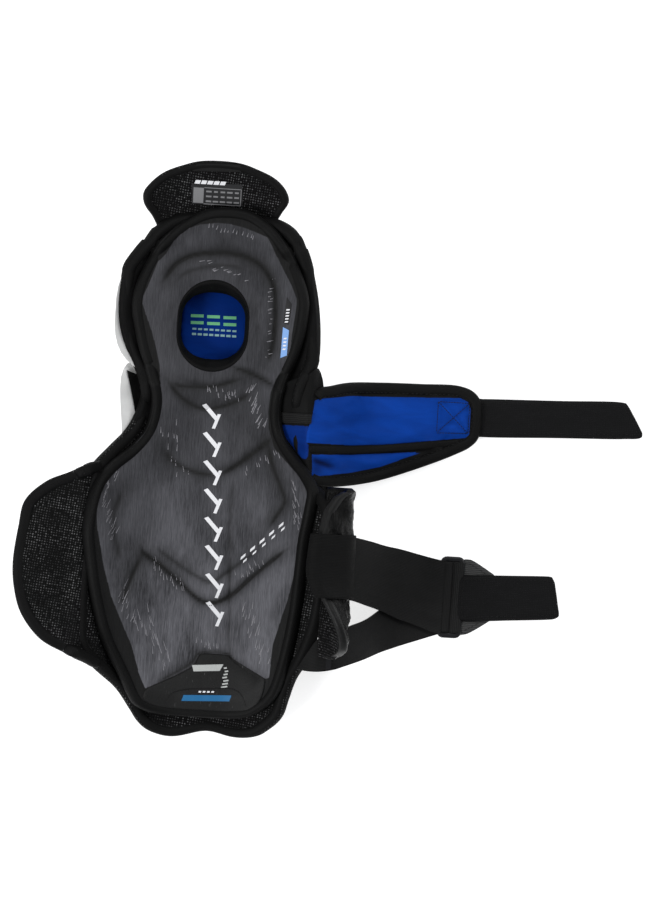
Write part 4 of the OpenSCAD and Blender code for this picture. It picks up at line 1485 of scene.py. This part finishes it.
def build_upper_strap():
    pad = panel("upper_strap_cushion", strap_outline, strap_top, strap_bottom, [STRAP_BLUE], cell=3.0, edge=4,
                swap=True)
    puff(pad, lambda x, y: 1.0 if strap_outline.distance(y, x) < 6 or x < 92 else 0.0, pressure=1.5, cap=1.8,
         grow=0.05)
    subdivide(pad)
    for vertex in pad.data.vertices:
        vertex.co.z = max(vertex.co.z, STRAP_REST * MM)
    regions = [Region(points) for points in STRAP_BLUES]
    add_field(pad, "blue", lambda x, y: max(region.inside(x, y) for region in regions))
    # The "fold" field holds painted shade for the dimple.
    add_field(pad, "fold", strap_fold_painted_shade)
    swing_upper_strap(pad)
    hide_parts("upper_strap_pad")

    loop = [Vector((p.y, p.x)) for p in reversed(strap_outline.points)]
    folded = [p.x < 73 and 63 < p.y < 125 for p in loop]
    start = next(i for i in range(len(loop)) if not folded[i] and folded[i - 1])
    order = [(start + i) % len(loop) for i in range(len(loop))]
    open_loop = [loop[i] for i in order if not folded[i]]
    line = stations(open_loop, strap_middle, closed=False)
    bind_edge(("upper_strap_edge", "upper_strap_stitches"), line, swing_upper_strap, (8.5, 8.2), BINDING,
              (7.4, 3.4), ["upper_strap_binding"], closed=False)

    points = spline([(x, mid_tape_y(x)) for x in range(70, 190, 10)], 1.5)
    middle = stations([Vector((p.x, p.y)) for p in points], lambda x, y: strap_top(x, y) + 0.3, closed=False)
    width = 5.8
    profile = [(a - width / 2, b) for a, b in tape_profile(width, 2.4)]
    tape = sweep("upper_strap_middle_tape", middle, profile, BINDING, closed=False)
    swing_upper_strap(tape)

    box_low, box_high = Vector((163, 103)), Vector((186, 126))
    corners = [box_low, Vector((box_high.x, box_low.y + 1)), box_high, Vector((box_low.x, box_high.y))]
    route = []
    for a, b in ((0, 1), (1, 2), (2, 3), (3, 0), (0, 2), (1, 3)):
        route.append(resample([corners[a], corners[b]], 1.0, closed=False))
    sews = []
    for number, points in enumerate(route):
        row = stations(points, lambda x, y: strap_top(x, y) + 0.9, closed=False)
        sews.append(stitches(f"strap_box_stitches_{number}", row, 0, 0.2, BLUE_THREAD, pitch=2.0, length=1.9,
                             radius=0.3))
    for piece in sews:
        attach(piece, "upper_strap")


def build_strap_root():
    """The cloth that joins the strap to the pad under the liner's edge, with a webbing strip across it."""
    outline = Outline(((46, 84, 130), (52, 72, 134), (60, 64, 138), (68, 62, 141), (73, 64, 145),
                       (77, 80, 138), (79, 96, 122)))

    def top(x, y):
        pad = carrier_top(min(x, lookup(y, ((68, 74), (86, 68)))), min(y, 122))
        return lerp(pad + lookup(y, ((72, 3.2), (90, 1.7))), strap_bottom(x, y) + 1.5, smooth(68, 77, x))

    cloth = panel("strap_root_cloth", outline, top, lambda x, y: top(x, y) - 0.9, [ROOT_BLUE], cell=1.8,
                  edge=0.8, swap=True)
    region = Region(((44, 102), (70, 102), (70, 78), (66, 78)))
    add_field(cloth, "blue", region.inside)
    # The root cloth gets no painted shade from the "fold" field.
    add_field(cloth, "fold", lambda x, y: 0.0)
    bend_at_waist(cloth)
    strip = patches("strap_root_webbing", [[(46, 103.5), (71, 104), (71, 111), (46, 111)]], top, WEBBING_DARK,
                    thickness=1.2)
    bend_at_waist(strip)


def flat_strip(name, outline, low_z, thickness, paint, body, nodes, waviness=0.35, cell=2.2):
    """A flat strap end lying on the floor, with a soft edge and a slight wave."""
    def top(x, y):
        return low_z + thickness + waviness * perlin(Vector((x * 0.03, y * 0.03, 2)))

    def bottom(x, y):
        return max(0.2, low_z + waviness * perlin(Vector((x * 0.03, y * 0.03, 2))) * 0.5)

    piece = panel(name, outline, top, bottom, [paint], cell=cell, edge=1.2, swap=True)
    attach(piece, body)
    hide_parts(*nodes)
    line = stations([Vector((p.y, p.x)) for p in reversed(outline.points)], top)
    sewn = stitches(name + "_stitches", line, 3.2, 0.05, THREAD, radius=0.25)
    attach(sewn, body)
    return piece


def build_upper_tab():
    low, high = node_box("upper_hook_tab")
    outline = Outline(((low.x - 4, 102.5, 129.5), (low.x + 1, 102, 130), (low.x + 56, 104.5, 132),
                       (297, 106.5, 133.8), (301.5, 106.9, 133), (303, 107, 131), (311, 107.6, 118),
                       (313.5, 108.5, 113.5), (314.4, 109.8, 112)))
    flat_strip("upper_tab_tape", outline, low.z, high.z - low.z, HOOKS, "upper_tab",
               ["upper_hook_tab"])


# ---------------------------------------------------------------- lower strap

# Rows of (x, far edge, near edge, height)
UPPER_LEG = ((92, 26, -21, 64), (100, 24, -22, 57), (108, 23, -23, 50), (118, 21, -26, 38),
             (130, 18, -30, 22), (142, 16, -35, 10.5), (156, 13, -39, 4.6), (171, 10, -44, 3.6),
             (175, 9.5, -44.5, 3.4))
LOWER_LEG = ((72, -54, -75, 46), (78, -54, -76, 52), (86, -52, -76, 56), (97, -50, -74, 52),
             (105, -43, -71, 46), (118, -37, -66, 31), (130, -28, -60.5, 15), (142, -18, -56, 5),
             (156, -6, -51, 1.2), (171, 5, -45.5, 0.6), (175, 6, -44, 0.6))


def band(name, rows, thickness, nodes):
    """An elastic leg of the lower strap: a flat woven band on a smooth curve."""
    far = spline([(x, y, z) for x, y, _, z in rows], 2.0)
    near = spline([(x, y, z) for x, _, y, z in rows], 2.0)
    count = 60
    far, near = (resample(line, sum((b - a).length for a, b in zip(line, line[1:])) / count, closed=False)
                 for line in (far, near))
    cols = 18
    vertices, faces, uvs = [], [], []
    reach = 0.0
    for i, (a, b) in enumerate(zip(far, near)):
        if i:
            reach += (a - far[i - 1]).length
        after, before = min(i + 1, len(far) - 1), max(i - 1, 0)
        along = (far[after] - far[before]).normalized()
        up = (b - a).cross(along).normalized()
        up = up if up.z > 0 else -up
        for side in (1, 0):
            for j in range(cols + 1) if side else range(cols, -1, -1):
                p = a.lerp(b, j / cols)
                curl = 0.5 * bell(min(j, cols - j), 1.2)
                wave = 0.35 * perlin(Vector((reach * 0.05, j * 0.12, 3)))
                vertices.append(p + up * (thickness * side * (1 - 0.25 * curl) + curl * 0.4 + wave))
                uvs.append((reach, (b - a).length * j / cols))
    m = 2 * (cols + 1)
    last = len(far) - 1
    for i in range(last):
        for j in range(m):
            k = (j + 1) % m
            faces.append([i * m + j, i * m + k, (i + 1) * m + k, (i + 1) * m + j])
    faces.append(list(range(m)))
    faces.append([last * m + j for j in range(m - 1, -1, -1)])
    obj = add_mesh(name, vertices, faces, [[uvs[v] for v in f] for f in faces], [ELASTIC])
    obj.data.set_sharp_from_angle(angle=math.radians(50))
    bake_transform(obj)
    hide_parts(*nodes)
    return obj


def build_lower_strap():
    band("lower_strap_upper_band", UPPER_LEG, 1.6, ["lower_strap_upper_leg"])
    band("lower_strap_lower_band", LOWER_LEG, 1.6, ["lower_strap_lower_leg"])


def build_ring():
    """The moulded ring as a rounded rod round a rectangle, with the sewn loops on its two long bars."""
    low, high = node_box("strap_ring")
    rod = 4.0
    inset = rod / 2
    bend = 2.5
    corners = [(low.x + inset, low.y + inset), (high.x - inset, low.y + inset),
               (high.x - inset, high.y - inset), (low.x + inset, high.y - inset)]
    middle = (low.z + high.z) / 2
    points = []
    for k, (x, y) in enumerate(corners):
        turn = math.radians(180 + 90 * k)
        centre = Vector((x - math.copysign(bend, x - (low.x + high.x) / 2),
                         y - math.copysign(bend, y - (low.y + high.y) / 2)))
        for step in range(7):
            angle = turn + math.radians(15 * step)
            points.append(centre + Vector((math.cos(angle), math.sin(angle))) * bend)
    path = resample(points, 1.2, closed=True)
    line = stations(path, lambda x, y: middle)
    half = (high.z - low.z) / 2
    profile = [(a - inset, b) for a, b in tape_profile(rod, 2 * half, count=16, power=3)]
    ring = sweep("strap_ring_rod", line, profile, BLACK_PLASTIC)
    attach(ring, "ring")
    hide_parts("strap_ring")
    width = 8.6
    low_end, high_end = low.y + 3.8, high.y - 3.8
    for name, x, paint in (("ring_elastic_loop", 177.2, ELASTIC), ("ring_webbing_loop", 185.4, WEBBING_DARK)):
        points = [Vector((x + 0.25 * perlin(Vector((k * 0.2, x, 0))), lerp(low_end, high_end, k / 30)))
                  for k in range(31)]
        row = stations(points, lambda a, b: middle + 0.7, closed=False)
        loop = sweep(name, row, [(a - width / 2, b) for a, b in tape_profile(width, 3.6, power=2.2)], paint,
                     closed=False)
        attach(loop, "ring")


def build_yoke():
    low, high = node_box("strap_yoke")
    outline = Outline(((low.x - 3, -44, 11), (low.x, -44, 11.5), (low.x + 3, -43.5, 11.5),
                       (high.x - 2, -33, 2.5), (high.x, -31, 1)))
    flat_strip("strap_yoke_webbing", outline, low.z, high.z - low.z, WEBBING, "lower_tab",
               ["strap_yoke"], waviness=0.1)


def build_lower_tab():
    low, high = node_box("lower_hook_tab")
    outline = Outline(((low.x - 3, -33.5, -0.5), (low.x + 2, -34, 0), (low.x + 34, -31.5, 1.6),
                       (low.x + 60, -29.4, 2.7), (253.5, -29.1, 2.6), (255.5, -28.9, 1.5), (258, -28.4, -8),
                       (260.3, -27, -20), (261.2, -25.8, -24.2)))
    flat_strip("lower_tab_tape", outline, low.z, high.z - low.z, HOOKS, "lower_tab",
               ["lower_hook_tab"])


def improve_cad_nodes():
    """Procedural materials on the CAD nodes that stay as they are."""
    paints = {"shin_cap_shell": WHITE_PLASTIC, "kneecap_shell": WHITE_PLASTIC,
              "shin_cap_insert": BLUE_PLASTIC,
              "shin_cap_rivets": BLACK_PLASTIC, "kneecap_rivets": BLACK_PLASTIC,
              "liner_hook_strips": BLACK_PLASTIC, "upper_strap_anchor": BLACK_PLASTIC,
              "lower_strap_anchor": BLACK_PLASTIC}
    for node, paint in paints.items():
        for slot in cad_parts[node].material_slots:
            slot.material = paint


# ---------------------------------------------------------------- floor, light and camera

def build_stage():
    floor = Paint("studio_floor", on_cad=True, Roughness=0.9, Specular_IOR_Level=0.1,
                  Emission_Color=(1, 1, 1, 1), Emission_Strength=0.72)
    speck = floor.noise(0.01, detail=2)
    floor.finish(floor.mix(speck, (0.5, 0.5, 0.5), (0.53, 0.53, 0.53)))
    reach = 8.0
    level = -0.0006
    mesh = bpy.data.meshes.new("studio_floor")
    corners = [(x * reach, y * reach, level) for x, y in ((-1, -1), (1, -1), (1, 1), (-1, 1))]
    mesh.from_pydata(corners, [], [(0, 1, 2, 3)])
    mesh.materials.append(floor.material)
    ground = bpy.data.objects.new("studio_floor", mesh)
    bpy.context.scene.collection.objects.link(ground)


def build_lights():
    world = bpy.data.worlds.new("studio")
    bpy.context.scene.world = world
    world.use_nodes = True
    background = world.node_tree.nodes["Background"]
    background.inputs["Color"].default_value = (0.93, 0.96, 1.0, 1)
    background.inputs["Strength"].default_value = 0.42
    target = Vector((0.08, 0.08, 0.03))
    for name, place, size, power in (("key", (-1.4, -0.8, 1.7), 0.8, 42), ("fill", (1.6, 0.9, 1.7), 1.2, 24),
                                     ("back", (0.0, 1.8, 1.7), 1.2, 20)):
        lamp = bpy.data.lights.new(name, "AREA")
        lamp.size = size
        lamp.energy = power
        holder = bpy.data.objects.new(name, lamp)
        holder.location = place
        holder.rotation_euler = (target - Vector(place)).to_track_quat("-Z", "Y").to_euler()
        bpy.context.scene.collection.objects.link(holder)


def build_camera():
    """Straight above, turned by 3.5 degrees, with the whole spread guard in a 660 by 900 frame."""
    frame_height = 0.657
    distance = 5.0
    camera = bpy.data.cameras.new("camera")
    camera.sensor_width = 36
    camera.lens = camera.sensor_width * distance / frame_height
    camera.clip_end = 50
    holder = bpy.data.objects.new("camera", camera)
    holder.location = (0.0857, 0.0857, 0.04 + distance)
    holder.rotation_euler = (0, 0, math.radians(3.5))
    bpy.context.scene.collection.objects.link(holder)
    bpy.context.scene.camera = holder
    bpy.context.scene.view_settings.view_transform = "Standard"


random.seed(7)
build_camera()
build_stage()
build_lights()
improve_cad_nodes()
build_carrier()
build_waist_gusset()
build_wing_gusset()
build_cup_pad()
build_thigh_flap()
build_flap_label()
build_left_wing()
build_right_wing()
build_liner()
build_cup_rim()
build_liner_marks()
build_liner_strokes()
build_abrasion_panel()
build_strap_root()
build_upper_strap()
build_upper_tab()
build_lower_strap()
build_ring()
build_yoke()
build_lower_tab()
